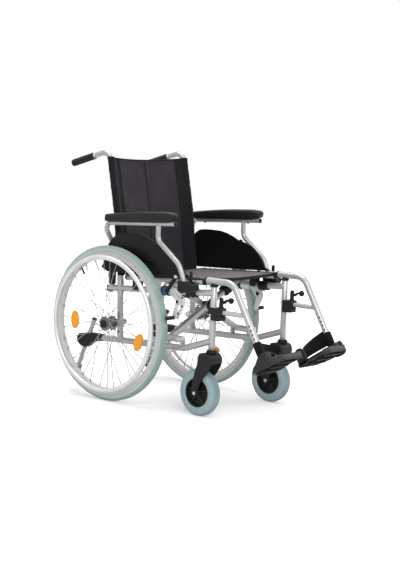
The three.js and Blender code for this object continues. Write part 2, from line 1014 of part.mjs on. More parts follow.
function casterFork() {
  const crown = forkCrownTop;
  const drop = forkCrownTop - axleOfCaster.z;
  const trail = casterAxleY - frontPostY;
  const placed = ([back, down]) => [frontPostY + trail * back, crown - drop * down];
  const eye = Array.from({ length: forkEyeCorners + 1 }, (_, i) => {
    const angle = Math.PI * (1 + i / forkEyeCorners);
    return [
      casterAxleY + forkEyeRadius * Math.cos(angle),
      axleOfCaster.z + forkEyeRadius * Math.sin(angle),
    ];
  });
  const legOutline = [...forkFrontShares.map(placed), ...eye, ...forkRearShares.map(placed)];
  const legs = [-1, 1].map((side) => {
    const inner = frameHalfWidth + side * forkLegInnerX;
    const outer = inner + side * forkLegThickness;
    return sidePlate(legOutline, Math.min(inner, outer), Math.max(inner, outer));
  });
  const crownOutline = legOutline.filter(([, z]) => z > forkCrownBottom);
  const crownBlock = sidePlate(
    crownOutline,
    frameHalfWidth - forkLegInnerX - seatGap,
    frameHalfWidth + forkLegInnerX + seatGap,
  );
  const stem = rod(
    point(frameHalfWidth, frontPostY, crown - cutOverrun),
    point(frameHalfWidth, frontPostY, crown + stemDepth),
    stemRadius,
  );
  const boltEnd = forkLegInnerX + forkLegThickness;
  const bolt = rod(
    point(frameHalfWidth - boltEnd, casterAxleY, axleOfCaster.z),
    point(frameHalfWidth + boltEnd, casterAxleY, axleOfCaster.z),
    casterBoltRadius,
  );
  const heads = [-1, 1].map((side) =>
    rod(
      point(frameHalfWidth + side * (boltEnd - seatGap), casterAxleY, axleOfCaster.z),
      point(
        frameHalfWidth + side * (boltEnd + boltHeadThickness),
        casterAxleY,
        axleOfCaster.z,
      ),
      boltHeadRadius,
      smallSides,
    ),
  );
  return join(...legs, crownBlock, stem, bolt, ...heads);
}

function armHoop() {
  const slope = (armTopFrontHeight - armTopRearHeight) / (armTopFrontY - armRearY);
  const topAt = (y) => armTopRearHeight + (y - armRearY) * slope;
  const hoop = tube(
    [
      corner(armX, armTopFrontY, armTopFrontHeight),
      corner(armX, armRearY, armTopRearHeight, armRearBendRadius),
      corner(armX, armRearY, armOffsetTop, armOffsetRadius),
      corner(frameHalfWidth, armPivotY, armOffsetBottom, armOffsetRadius),
      corner(frameHalfWidth, armPivotY, armPivotHeight),
    ],
    armTubeRadius,
  );
  const leg = tube(
    [
      corner(armX, armLegY, topAt(armLegY)),
      corner(armX, armLegY, armLegKneeHeight, armLegKneeRadius),
      corner(armX, armLegShinY, armLegShinHeight, armLegShinRadius),
      corner(armX, armLegFootY, armLegFootHeight, armLegFootRadius),
      corner(armX, armLegFootY, armLegEnd),
    ],
    armTubeRadius,
  );
  const eye = rod(
    point(frameHalfWidth - armEyeHalfWidth, armPivotY, armPivotHeight),
    point(frameHalfWidth + armEyeHalfWidth, armPivotY, armPivotHeight),
    armEyeRadius,
  );
  const pinBore = rod(
    point(frameHalfWidth - armX, armPivotY, armPivotHeight),
    point(frameHalfWidth + armX, armPivotY, armPivotHeight),
    turnBore(armPinRadius),
    roundSides,
  );
  return cut(join(hoop, leg, eye), pinBore);
}

// The pad is flat below, where it rests on the tube, and crowned along and across.
function armPad() {
  const slope = (armTopFrontHeight - armTopRearHeight) / (armTopFrontY - armRearY);
  const under = (y) =>
    armTopRearHeight + (y - armRearY) * slope + flatOf(armTubeRadius) + seatGap;
  const length = padFrontY - padRearY;
  const skin = (top) => (u, v) => {
    const y = padRearY + length * v;
    const nose = Math.max(0, 1 - (y - padFrontY) / padNoseLength);
    const climb = Math.sin((Math.PI / 2) * Math.min(v / padRearReach, 1));
    const rise = padRearShare + (1 - padRearShare) * climb;
    const full = padThickness * (rise - padNoseShare * nose * nose);
    const across = Math.abs(2 * u - 1) ** padEdgePower;
    const half = padHalfWidth * (1 - padNoseNarrowing * nose * nose);
    const lift = padNoseLift * nose * nose;
    return point(
      padX + half * (2 * u - 1),
      y,
      under(y) + lift + (top ? full - padTuck * across : 0),
    );
  };
  return layered(padColumns, padRows, skin(false), skin(true));
}

function sidePanel() {
  const back = armPivotY + panelBackReach;
  const outline = panelShares.map(([along, up]) => [
    back + (panelFrontY - back) * along,
    panelBottom + (panelTop - panelBottom) * up - (panelFrontY - back) * along * panelRise,
  ]);
  const plate = sidePlate(
    outline,
    panelX - panelThickness / 2,
    panelX + panelThickness / 2,
  );
  const frontBoss = rod(
    point(panelX, armLegY, panelFrontBossHeight),
    point(armX - armTubeRadius - seatGap, armLegY, panelFrontBossHeight),
    panelBossRadius,
    smallSides,
  );
  const rearBoss = rod(
    point(frameHalfWidth + armTubeRadius + seatGap, armPivotY, panelRearBossHeight),
    point(panelX, armPivotY, panelRearBossHeight),
    panelBossRadius,
    smallSides,
  );
  return join(plate, frontBoss, rearBoss);
}
function armLock() {
  const body = block(
    point(lockInnerX, lockFrontY, lockBottom),
    point(lockOuterX, lockRearY, lockTop),
  );
  const middle = (lockRingRearY + lockRingFrontY) / 2;
  const web = block(
    point(frameHalfWidth, lockRingFrontY, upperRailAt(middle).z - railRadius),
    point(lockInnerX + weldDepth, lockRingRearY, upperRailAt(middle).z + railRadius),
  );
  const ring = rod(upperRailAt(lockRingRearY), upperRailAt(lockRingFrontY), lockRingRadius);
  const railBore = rod(
    upperRailAt(lockRearY + cutOverrun),
    upperRailAt(lockFrontY - cutOverrun),
    seatBore(railRadius),
  );
  const half = armTubeRadius + lockSlotSlack;
  const slot = block(
    point(armX - half, armLegFootY - half, lockSlotBottom),
    point(armX + half, armLegFootY + half, lockTop + cutOverrun),
  );
  const leverWall = lockLeverHalfThickness + seatGap;
  const leverSlot = block(
    point(
      lockLeverX - leverWall,
      lockFrontY - cutOverrun,
      lockTop - lockLeverSlotDepth,
    ),
    point(
      lockLeverX + leverWall,
      lockLeverY + lockLeverEyeRadius + runningGap,
      lockTop + cutOverrun,
    ),
  );
  const leverPin = rod(
    point(lockLeverX - leverWall - runningGap, lockLeverY, lockLeverPivotHeight),
    point(lockLeverX + leverWall + runningGap, lockLeverY, lockLeverPivotHeight),
    lockLeverPinRadius,
    smallSides,
  );
  return join(cut(join(body, web, ring), railBore, slot, leverSlot), leverPin);
}

function lockLever() {
  const low = lockLeverX - lockLeverHalfThickness;
  const high = lockLeverX + lockLeverHalfThickness;
  const eye = rod(
    point(low, lockLeverY, lockLeverPivotHeight),
    point(high, lockLeverY, lockLeverPivotHeight),
    lockLeverEyeRadius,
  );
  const blade = block(
    point(low, lockLeverY - lockLeverHalfWidth, lockLeverPivotHeight),
    point(high, lockLeverY + lockLeverHalfWidth, lockLeverTop - lockLeverHalfWidth),
  );
  const tip = rod(
    point(low, lockLeverY, lockLeverTop - lockLeverHalfWidth),
    point(high, lockLeverY, lockLeverTop - lockLeverHalfWidth),
    lockLeverHalfWidth,
  );
  const bore = rod(
    point(low - cutOverrun, lockLeverY, lockLeverPivotHeight),
    point(high + cutOverrun, lockLeverY, lockLeverPivotHeight),
    turnBore(lockLeverPinRadius),
    roundSides,
  );
  return cut(join(eye, blade, tip), bore);
}

const hangerEnd = point(frameHalfWidth, hangerEndY, hangerEndHeight);
const hangerKnee = point(frameHalfWidth, hangerKneeY, hangerHeight);
const shinDirection = hangerEnd.clone().sub(hangerKnee).normalize();

function hanger() {
  const main = tube(
    [
      corner(frameHalfWidth, hangerRearY, hangerHeight),
      { at: hangerKnee, radius: hangerKneeRadius },
      { at: hangerEnd },
    ],
    hangerRadius,
  );
  const shinY =
    hangerKneeY + ((crossTubeHeight - hangerHeight) / shinDirection.z) * shinDirection.y;
  const crossTube = rod(
    point(frameHalfWidth, latchBlockFrontY + crossTubeInsert, crossTubeHeight),
    point(frameHalfWidth, shinY, crossTubeHeight),
    crossTubeRadius,
  );
  const pin = rod(
    point(frameHalfWidth, frontPostY, frontPostTop - hangerPinDepth),
    point(frameHalfWidth, frontPostY, hangerHeight),
    hangerPinRadius,
  );
  const cap = rod(
    point(frameHalfWidth, frontPostY, frontPostTop + runningGap),
    point(frameHalfWidth, frontPostY, hangerHeight),
    hangerCapRadius,
  );
  const bore = rod(
    hangerEnd.clone().addScaledVector(shinDirection, -footBoreDepth),
    hangerEnd.clone().addScaledVector(shinDirection, cutOverrun),
    seatBore(footTubeRadius),
  );
  return cut(join(main, crossTube, pin, cap), bore);
}

function latchBlock() {
  const upper = block(
    point(frameHalfWidth - latchBlockHalfWidth, latchBlockFrontY, latchStepHeight),
    point(frameHalfWidth + latchBlockHalfWidth, latchBlockRearY, latchBlockTop),
  );
  const lower = block(
    point(frameHalfWidth - latchBlockHalfWidth, latchBlockFrontY, latchBlockBottom),
    point(frameHalfWidth + latchBlockHalfWidth, latchStepY, latchStepHeight),
  );
  const postBore = rod(
    point(frameHalfWidth, frontPostY, latchBlockBottom - cutOverrun),
    point(frameHalfWidth, frontPostY, latchBlockTop + cutOverrun),
    turnBore(railRadius),
    roundSides,
  );
  const tubeBore = rod(
    point(frameHalfWidth, latchBlockFrontY + crossTubeInsert + seatGap, crossTubeHeight),
    point(frameHalfWidth, latchBlockFrontY - cutOverrun, crossTubeHeight),
    seatBore(crossTubeRadius),
  );
  const opening = block(
    point(0, frontPostY, latchBlockBottom - cutOverrun),
    point(frameHalfWidth, latchBlockRearY + cutOverrun, latchBlockTop + cutOverrun),
  );
  const leverBore = rod(
    point(frameHalfWidth, latchLeverY, latchBlockTop - latchPinDepth - seatGap),
    point(frameHalfWidth, latchLeverY, latchBlockTop + cutOverrun),
    turnBore(latchPinRadius),
    roundSides,
  );
  return cut(join(upper, lower), postBore, opening, tubeBore, leverBore);
}

function latchLever() {
  const top = point(frameHalfWidth, latchLeverY, latchLeverTop);
  const knob = point(frameHalfWidth, latchBallY, latchBallHeight);
  return join(
    rod(point(frameHalfWidth, latchLeverY, latchBlockTop + runningGap), top, latchLeverRadius),
    rod(
      point(frameHalfWidth, latchLeverY, latchBlockTop - latchPinDepth),
      top,
      latchPinRadius,
      smallSides,
    ),
    rod(
      point(frameHalfWidth, latchLeverY, latchBallHeight - latchArmRadius / 2),
      knob,
      latchArmRadius,
      smallSides,
    ),
    ball(knob, latchBallRadius, tubeSides),
  );
}

// The footplate's own frame: along its slope, across and square to its underside.
const plateAlong = point(0, -Math.cos(plateTilt), Math.sin(plateTilt));
const plateUp = point(0, Math.sin(plateTilt), Math.cos(plateTilt));
const plateOrigin = point(0, plateRearY, plateRearHeight);
const platePoint = (x, along, up) =>
  plateOrigin
    .clone()
    .addScaledVector(plateAlong, along)
    .addScaledVector(plateUp, up)
    .setX(x);

function plateSlab(outline, low, high) {
  const shape = new THREE.Shape(outline.map(([x, along]) => new THREE.Vector2(x, along)));
  const geometry = new THREE.ExtrudeGeometry(shape, {
    depth: high - low,
    bevelEnabled: false,
  });
  const base = platePoint(0, 0, low);
  geometry.applyMatrix4(
    new THREE.Matrix4().makeBasis(alongX, plateAlong, plateUp).setPosition(base),
  );
  return solidOf(geometry);
}

function footplate() {
  const outerRear = plateDepth * plateOuterRearShare;
  const outerFront = plateDepth * plateOuterFrontShare;
  const outline = [
    [plateInnerX, plateCorner / 2],
    [plateInnerX + plateCorner / 2, 0],
    [plateOuterX - plateCorner * 2, 0],
    [plateOuterX, outerRear],
    [plateOuterX, outerFront],
    [plateOuterX - plateCorner * 2, plateDepth],
    [plateInnerX + plateCorner, plateDepth],
    [plateInnerX, plateDepth - plateCorner],
  ];
  const deckBottom = plateRibHeight;
  const deck = plateSlab(outline, deckBottom, plateThickness);
  const ribs = Array.from({ length: plateRibCount }, (_, i) => {
    const along = (plateDepth * (i + 1)) / (plateRibCount + 1);
    const reach = plateCorner;
    return plateSlab(
      [
        [plateInnerX + reach, along],
        [plateOuterX - reach * 2, along],
        [plateOuterX - reach * 2, along + plateRibThickness],
        [plateInnerX + reach, along + plateRibThickness],
      ],
      0,
      deckBottom + seatGap,
    );
  });
  const wall = plateSlab(
    [
      [plateOuterX - plateWallThickness, plateWallStart],
      [plateOuterX, plateWallStart],
      [plateOuterX, outerFront],
      [plateOuterX - plateWallThickness, outerFront + plateWallThickness],
    ],
    deckBottom,
    plateWallHeight,
  );
  const sleeve = rod(
    platePoint(frameHalfWidth, plateSleeveStart, platePinHeight),
    platePoint(frameHalfWidth, plateSleeveEnd, platePinHeight),
    plateSleeveRadius,
  );
  const sleeveFoot = plateSlab(
    [
      [frameHalfWidth - footTubeRadius, plateSleeveStart],
      [frameHalfWidth + plateSleeveRadius, plateSleeveStart],
      [frameHalfWidth + plateSleeveRadius, plateSleeveEnd],
      [frameHalfWidth - footTubeRadius, plateSleeveEnd],
    ],
    deckBottom,
    platePinHeight,
  );
  const tab = plateSlab(
    [
      [plateInnerX, plateTabStart + plateCorner / 2],
      [plateInnerX + plateTabThickness, plateTabStart + plateCorner / 2],
      [plateInnerX + plateTabThickness, plateTabEnd],
      [plateInnerX, plateTabEnd],
    ],
    deckBottom,
    plateTabHeight,
  );
  const bore = rod(
    platePoint(frameHalfWidth, plateSleeveStart - cutOverrun, platePinHeight),
    platePoint(frameHalfWidth, platePinEnd + seatGap, platePinHeight),
    turnBore(footTubeRadius),
    roundSides,
  );
  return cut(join(deck, ...ribs, wall, sleeve, sleeveFoot, tab), bore);
}

// The height tube slides in the hanger and bends into the pin of the footplate.
function footTube() {
  const top = hangerEnd.clone().addScaledVector(shinDirection, -footTubeInsert);
  const pinRear = platePoint(frameHalfWidth, 0, platePinHeight);
  const run = hangerEnd.clone().sub(pinRear);
  const along = plateAlong;
  const shin = shinDirection;
  const cross = along.y * shin.z - along.z * shin.y;
  const distance = (run.y * shin.z - run.z * shin.y) / cross;
  const knee = pinRear.clone().addScaledVector(along, distance);
  return tube(
    [
      { at: top },
      { at: knee, radius: platePinBendRadius },
      { at: platePoint(frameHalfWidth, platePinEnd, platePinHeight) },
    ],
    footTubeRadius,
  );
}

// The heel strap is a band from the hanger's end to the footplate's inner tab.
function heelStrap() {
  const innerX = plateInnerX + plateTabThickness + seatGap;
  const outerX = frameHalfWidth - footTubeRadius - strapTubeWall;
  const tabMiddle = (plateTabStart + plateTabEnd) / 2;
  const innerLow = platePoint(innerX, tabMiddle, plateThickness + strapTubeWall);
  const outerLow = point(outerX, strapOuterY, strapLowEdge);
  const place = (side) => (u, v) => {
    const low = innerLow.clone().lerp(outerLow, u);
    low.y += strapBowY * Math.sin(Math.PI * u) + side * strapThickness;
    low.z += (v - strapSagShare * Math.sin(Math.PI * u)) * strapHeight;
    low.y -= shinDirection.y * strapHeight * v * u;
    return low;
  };
  return layered(strapColumns, 2, place(0), place(1));
}

function brakeBracket() {
  const ring = rod(upperRailAt(brakeRingRearY), upperRailAt(brakeRingFrontY), brakeRingRadius);
  const sleeve = rod(
    upperRailAt(brakeRingRearY - seatGap),
    upperRailAt(brakeSleeveFrontY),
    brakeSleeveRadius,
  );
  const railBore = rod(
    upperRailAt(brakeRingRearY + cutOverrun),
    upperRailAt(brakeSleeveFrontY - cutOverrun),
    seatBore(railRadius),
  );
  const outline = [
    [brakePivotY + brakeLeverHubRadius, brakePivotHeight + brakeLeverHubRadius],
    [brakePlateFrontY, brakePivotHeight + brakeSleeveRadius / 2],
    [brakePlateFrontY - brakeLeverHubRadius * 2, shoePivotHeight + brakeSleeveRadius],
    [brakePlateFrontY - brakeLeverHubRadius * 2, shoePivotHeight - brakeSleeveRadius],
    [shoePivotY - shoeArmHubRadius, shoeHeight - brakeSleeveRadius],
    [shoeY + shoeRadius / 2, shoeHeight - brakeSleeveRadius],
    [shoePivotY + brakeSleeveRadius * 2, shoePivotHeight],
    [brakePivotY + brakeLeverHubRadius, brakePivotHeight - brakeLeverHubRadius * 2],
  ];
  const plate = sidePlate(outline, brakePlateInnerX, brakePlateInnerX + brakePlateThickness);
  const web = block(
    point(
      frameHalfWidth,
      brakeSleeveFrontY,
      upperRailAt(brakeSleeveFrontY).z - railRadius,
    ),
    point(
      brakePlateInnerX + seatGap,
      brakePivotY,
      upperRailAt(brakePivotY).z + railRadius / 2,
    ),
  );
  const leverPin = rod(
    point(brakePlateInnerX, brakePivotY, brakePivotHeight),
    point(
      brakeLeverX + brakeLeverHalfThickness + brakePinRadius,
      brakePivotY,
      brakePivotHeight,
    ),
    brakePinRadius,
    smallSides,
  );
  const leverSpacer = rod(
    point(brakePlateInnerX, brakePivotY, brakePivotHeight),
    point(brakeLeverX - brakeLeverHalfThickness - seatGap, brakePivotY, brakePivotHeight),
    brakeLeverHubRadius,
  );
  const shoePin = rod(
    point(brakePlateInnerX, shoePivotY, shoePivotHeight),
    point(shoeArmX + shoeArmHalfThickness + brakePinRadius, shoePivotY, shoePivotHeight),
    brakePinRadius,
    smallSides,
  );
  const shoeSpacer = rod(
    point(brakePlateInnerX, shoePivotY, shoePivotHeight),
    point(shoeArmX - shoeArmHalfThickness - seatGap, shoePivotY, shoePivotHeight),
    shoeArmHubRadius,
  );
  return join(
    cut(join(ring, sleeve, web, plate), railBore),
    leverPin,
    leverSpacer,
    shoePin,
    shoeSpacer,
  );
}

function brakeLever() {
  const low = brakeLeverX - brakeLeverHalfThickness;
  const high = brakeLeverX + brakeLeverHalfThickness;
  const hub = rod(
    point(low, brakePivotY, brakePivotHeight),
    point(high, brakePivotY, brakePivotHeight),
    brakeLeverHubRadius,
  );
  const foot = point(brakeLeverX, brakePivotY, brakePivotHeight);
  const tip = point(brakeLeverX, brakeHandleTopY, brakeHandleTopHeight);
  const up = tip.clone().sub(foot).normalize();
  const handle = rod(
    foot.clone().addScaledVector(up, brakeLeverHubRadius + brakePinRadius),
    tip,
    brakeHandleRadius,
  );
  const shank = rod(foot, tip, brakeLeverHalfThickness, smallSides);
  const bore = rod(
    point(low - cutOverrun, brakePivotY, brakePivotHeight),
    point(high + cutOverrun, brakePivotY, brakePivotHeight),
    turnBore(brakePinRadius),
    roundSides,
  );
  return cut(join(hub, shank, handle), bore);
}

function brakeShoe() {
  const low = shoeArmX - shoeArmHalfThickness;
  const high = shoeArmX + shoeArmHalfThickness;
  const hub = rod(
    point(low, shoePivotY, shoePivotHeight),
    point(high, shoePivotY, shoePivotHeight),
    shoeArmHubRadius,
  );
  const arm = sidePlate(
    [
      [shoePivotY - shoeArmHubRadius, shoePivotHeight],
      [shoeY - shoeRadius, shoeHeight],
      [shoeY + shoeRadius, shoeHeight],
      [shoePivotY + shoeArmHubRadius, shoePivotHeight],
    ],
    low,
    high,
  );
  const shoe = rod(
    point(low, shoeY, shoeHeight),
    point(shoeOuterX, shoeY, shoeHeight),
    shoeRadius,
  );
  const bore = rod(
    point(low - cutOverrun, shoePivotY, shoePivotHeight),
    point(high + cutOverrun, shoePivotY, shoePivotHeight),
    turnBore(brakePinRadius),
    roundSides,
  );
  return cut(join(hub, arm, shoe), bore);
}

const antiTipTop = point(frameHalfWidth, antiTipTopY, antiTipTopHeight);
const antiTipAxle = point(frameHalfWidth, antiTipWheelY, antiTipWheelHeight);
const antiTipDown = antiTipAxle.clone().sub(antiTipTop).normalize();

function tipLever() {
  const rear = lowerRailRearY + railRadius * Math.sin(lowerRailPitch);
  const reach = antiTipWheelY - rear;
  const top = lowerRailAt(rear).z + railRadius;
  const outline = [
    [rear + seatGap, top - railRadius * 2],
    [rear + seatGap, top],
    ...tipShares.map(([back, up]) => [rear + reach * back, top + railRadius * up]),
  ];
  const body = sidePlate(outline, frameHalfWidth - tipHalfWidth, frameHalfWidth + tipHalfWidth);
  const spigot = rod(
    lowerRailAt(rear - tipSpigotLength),
    lowerRailAt(rear + weldDepth),
    tipSpigotRadius,
  );
  const bore = rod(
    antiTipTop,
    antiTipAxle,
    seatBore(antiTipRadius),
  );
  return cut(join(body, spigot), bore);
}

function antiTip() {
  const tubeEnd = antiTipAxle.clone().addScaledVector(antiTipDown, -antiTipTubeEndLift);
  const inner = antiTipWheelHalfWidth + runningGap;
  const outer = inner + antiTipEarThickness;
  const ears = [-1, 1].map((side) =>
    join(
      rod(
        antiTipAxle.clone().add(point(side * inner, 0, 0)),
        antiTipAxle.clone().add(point(side * outer, 0, 0)),
        antiTipRadius,
      ),
      rod(
        antiTipAxle.clone().add(point((side * (inner + outer)) / 2, 0, 0)),
        tubeEnd.clone().add(point((side * (inner + outer)) / 2, 0, 0)),
        antiTipEarThickness / 2,
        tabSides,
      ),
    ),
  );
  const bridge = block(
    tubeEnd.clone().sub(point(outer, antiTipRadius, antiTipEarThickness / 2)),
    tubeEnd.clone().add(point(outer, antiTipRadius, antiTipEarThickness / 2)),
  );
  const bolt = rod(
    antiTipAxle.clone().sub(point(outer, 0, 0)),
    antiTipAxle.clone().add(point(outer, 0, 0)),
    antiTipBoltRadius,
    smallSides,
  );
  const cap = rod(
    antiTipTop.clone().addScaledVector(antiTipDown, -antiTipCapHeight),
    antiTipTop,
    antiTipCapRadius,
  );
  return join(
    rod(antiTipTop.clone().addScaledVector(antiTipDown, -seatGap), tubeEnd, antiTipRadius),
    cap,
    bridge,
    bolt,
    ...ears,
  );
}

function antiTipWheel() {
  const bore = turnBore(antiTipBoltRadius);
  const profile = [
    [bore, -antiTipWheelHalfWidth],
    [antiTipWheelRadius - antiTipBoltRadius, -antiTipWheelHalfWidth],
    [antiTipWheelRadius, -antiTipWheelHalfWidth / 2],
    [antiTipWheelRadius, antiTipWheelHalfWidth / 2],
    [antiTipWheelRadius - antiTipBoltRadius, antiTipWheelHalfWidth],
    [bore, antiTipWheelHalfWidth],
    [bore, -antiTipWheelHalfWidth],
  ];
  return turned(profile, alongX, antiTipAxle, roundSides);
}

// One bar of the cross brace, from its pivot tube to the seat rail on the other side.
function braceBar(rearY, side, withBolt) {
  const frontY = rearY - barDepth;
  const middleY = (rearY + frontY) / 2;
  const pivot = point(-side * frameHalfWidth, middleY, bracePivotHeight);
  const crownHeight = seatRailAt(braceFrontY + barDepth + barGap / 2).z;
  const crown = point(side * frameHalfWidth, middleY, crownHeight);
  const barEnd = pivot.clone().sub(crown).setLength(seatRailRadius / 2).add(crown);
  const bar = barBetween(pivot, barEnd, rearY, frontY, barHeight);
  const blockStart = pivot.clone().lerp(crown, braceBlockPlace);
  const blockHalf = crown.clone().sub(pivot).setLength(braceBlockLength / 2);
  const lump = barBetween(
    blockStart.clone().sub(blockHalf),
    blockStart.clone().add(blockHalf),
    middleY + braceBlockDepth / 2,
    middleY - braceBlockDepth / 2,
    barHeight + braceBlockWall * 2,
  );
  const pivotTube = rod(
    point(pivot.x, pivotTubeFrontY, bracePivotHeight),
    point(pivot.x, pivotTubeRearY, bracePivotHeight),
    pivotTubeRadius,
  );
  const railEnd = (y) => seatRailAt(y).setX(side * frameHalfWidth);
  const rail = rod(railEnd(seatRailRearY), railEnd(seatRailFrontY), seatRailRadius);
  const pinBore = rod(
    point(pivot.x, pivotTubeFrontY - cutOverrun, bracePivotHeight),
    point(pivot.x, pivotTubeRearY + cutOverrun, bracePivotHeight),
    turnBore(pivotPinRadius),
    roundSides,
  );
  const centre = pivot.clone().lerp(crown, 0.5);
  const body = cut(join(bar, lump, pivotTube, rail), pinBore);
  const boltBore = rod(
    centre.clone().setY(rearY + cutOverrun),
    centre.clone().setY(frontY - cutOverrun),
    turnBore(braceBoltRadius),
    roundSides,
  );
  if (!withBolt) return cut(body, boltBore);
  const bolt = rod(
    centre.clone().setY(frontY),
    centre.clone().setY(braceFrontY + barDepth * 2 + barGap + braceCapThickness),
    braceBoltRadius,
  );
  const frontCap = rod(
    centre.clone().setY(frontY - braceCapThickness),
    centre.clone().setY(frontY + seatGap),
    braceCapRadius,
    roundSides,
  );
  const washer = rod(
    centre.clone().setY(braceFrontY + barDepth * 2 + barGap + runningGap),
    centre.clone().setY(braceFrontY + barDepth * 2 + barGap + braceCapThickness),
    braceWasherRadius,
    smallSides,
  );
  return join(body, bolt, frontCap, washer);
}

// A straight bar with a flat section between two points that lie at one depth.
function barBetween(from, to, rearY, frontY, height) {
  const length = from.distanceTo(to);
  const geometry = new THREE.BoxGeometry(length, rearY - frontY, height);
  geometry.rotateY(-Math.atan2(to.z - from.z, to.x - from.x));
  const middle = from.clone().lerp(to, 0.5);
  return solidOf(geometry.translate(middle.x, (rearY + frontY) / 2, middle.z));
}

// The seat cover lies flat on its rails and sags between them.
function seatCover() {
  const edge = frameHalfWidth + seatEdgeOverhang;
  const hanging = frameHalfWidth - seatRailRadius - runningGap;
  const across = (u) => {
    const place = Math.round(u * seatColumns);
    if (place === 0) return -edge;
    if (place === seatColumns) return edge;
    return -hanging + (2 * hanging * (place - 1)) / (seatColumns - 2);
  };
  const skin = (lift) => (u, v) => {
    const x = across(u);
    const y = seatRearY + (seatFrontY - seatRearY) * v;
    const inside = Math.max(0, 1 - (x / hanging) ** 2);
    const rail = seatRailAt(y).z + flatOf(seatRailRadius) + seatGap;
    return point(x, y, rail + lift - seatSag * inside);
  };
  return layered(seatColumns, seatRows, skin(0), skin(seatThickness));
}

// The back cover hangs between two sleeves that slip over the canes.
function backCover() {
  const foot = rearPostAt(rearPostTop + weldDepth);
  const lowLean = (caneKneeY - foot.y) / (caneKneeHeight - foot.z);
  const topLean = (caneTopY - caneKneeY) / (caneTopHeight - caneKneeHeight);
  const caneAt = (z) =>
    z < caneKneeHeight
      ? foot.y + (z - foot.z) * lowLean
      : caneKneeY + (z - caneKneeHeight) * topLean;
  const edge = frameHalfWidth - caneRadius - seatGap - coverSleeveWall / 2;
  const skin = (back) => (u, v) => {
    const x = -edge + 2 * edge * u;
    const inside = 1 - (x / edge) ** 2;
    const z = backBottom + (backTop - backBottom) * v - backTopDip * inside * v;
    const middle = caneAt(z) + backSag * inside;
    const half = backThickness / 2;
    return point(x, back ? middle + half : middle - half, z);
  };
  const body = layered(backColumns, backRows, skin(false), skin(true));
  const window = block(
    point(-handleEndY - frameHalfWidth, -caneTopHeight, backBottom),
    point(handleEndY + frameHalfWidth, caneTopY + caneTopRadius, backTop),
  );
  const sleeves = [-1, 1].map((side) =>
    tube(caneCorners(side), caneRadius + seatGap + coverSleeveWall).intersect(window),
  );
  const canes = [-1, 1].map((side) => tube(caneCorners(side), seatBore(caneRadius)));
  return cut(join(body, ...sleeves), ...canes);
}

// The assembly
const chair = new THREE.Group();

function sideGroup(side, mirror) {
  const group = new THREE.Group();
  group.scale.x = mirror;
  const add = (name, solid, material) =>
    group.add(meshOf(`${side}_${name}`, solid, material));
  const wheelCentre = point(wheelHalfTrack, 0, axleHeight);
  add("side_frame", sideFrame(), silver);
  add("back_cane", tube(caneCorners(), caneRadius), silver);
  add("push_grip", pushGrip(), grip);
  add("wheel_tyre", wheelTyre(wheelCentre), tyreRubber);
  add("wheel_rim", wheelRim(wheelCentre), rimPaint);
  add("wheel_hub", wheelHub(wheelCentre), chrome);
  add("handrim", handrim(wheelCentre), silver);
  add("wheel_axle", wheelAxle(wheelCentre), blackPlastic);
  add("caster_fork", casterFork(), blackPlastic);
  add("caster_tyre", casterTyre(axleOfCaster), casterRubber);
  add("caster_hub", casterHub(axleOfCaster), blackPlastic);
  add("armrest_tube", armHoop(), silver);
  add("arm_pad", armPad(), grip);
  add("side_panel", sidePanel(), blackPlastic);
  add("armrest_lock", armLock(), blackPlastic);
  add("armrest_lever", lockLever(), blackPlastic);
  add("hanger", hanger(), silver);
  add("latch_block", latchBlock(), blackPlastic);
  add("latch_lever", latchLever(), blackPlastic);
  add("foot_tube", footTube(), silver);
  add("footplate", footplate(), greyPlastic);
  add("heel_strap", heelStrap(), webbing);
  add("brake_bracket", brakeBracket(), silver);
  add("brake_lever", brakeLever(), blackPlastic);
  add("brake_shoe", brakeShoe(), chrome);
  add("tip_lever", tipLever(), blackPlastic);
  add("anti_tip_tube", antiTip(), silver);
  add("anti_tip_wheel", antiTipWheel(), blackPlastic);
  return group;
}

const rearBarY = braceFrontY + barDepth * 2 + barGap;
chair.add(
  sideGroup("left", 1),
  sideGroup("right", -1),
  meshOf("front_brace", braceBar(braceFrontY + barDepth, 1, true), silver),
  meshOf("rear_brace", braceBar(rearBarY, -1, false), silver),
  meshOf("seat_cover", seatCover(), seatFabric),
  meshOf("back_cover", backCover(), backFabric),
);

// The chair stands on z = 0, centred over its origin.
const outer = new THREE.Box3().setFromObject(chair);
const middle = outer.getCenter(new THREE.Vector3());
chair.position.set(-middle.x, -middle.y, -outer.min.z);

export default chair;
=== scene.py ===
import math

import bmesh
import bpy
from mathutils import Matrix, Vector


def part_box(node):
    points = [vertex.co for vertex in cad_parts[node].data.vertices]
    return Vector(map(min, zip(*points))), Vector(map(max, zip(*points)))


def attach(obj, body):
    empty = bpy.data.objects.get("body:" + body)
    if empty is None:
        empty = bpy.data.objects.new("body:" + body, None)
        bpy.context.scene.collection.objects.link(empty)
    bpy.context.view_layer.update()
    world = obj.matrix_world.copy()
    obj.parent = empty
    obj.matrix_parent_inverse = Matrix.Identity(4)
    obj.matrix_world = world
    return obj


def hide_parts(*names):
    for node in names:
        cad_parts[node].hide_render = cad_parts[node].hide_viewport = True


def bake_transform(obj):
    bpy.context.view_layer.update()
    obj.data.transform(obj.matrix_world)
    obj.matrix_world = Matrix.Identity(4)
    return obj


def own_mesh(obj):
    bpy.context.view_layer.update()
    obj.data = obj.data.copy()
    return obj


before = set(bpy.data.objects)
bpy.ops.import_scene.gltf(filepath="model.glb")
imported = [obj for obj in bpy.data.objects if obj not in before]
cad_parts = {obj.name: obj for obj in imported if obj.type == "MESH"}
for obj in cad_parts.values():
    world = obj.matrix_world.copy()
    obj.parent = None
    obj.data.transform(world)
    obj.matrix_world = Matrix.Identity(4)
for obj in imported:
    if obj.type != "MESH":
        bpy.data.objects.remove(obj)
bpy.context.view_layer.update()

# Studio: a pale floor and a white surround, lit by large soft lamps as a catalogue
# picture is, with the camera where the photograph was taken from.

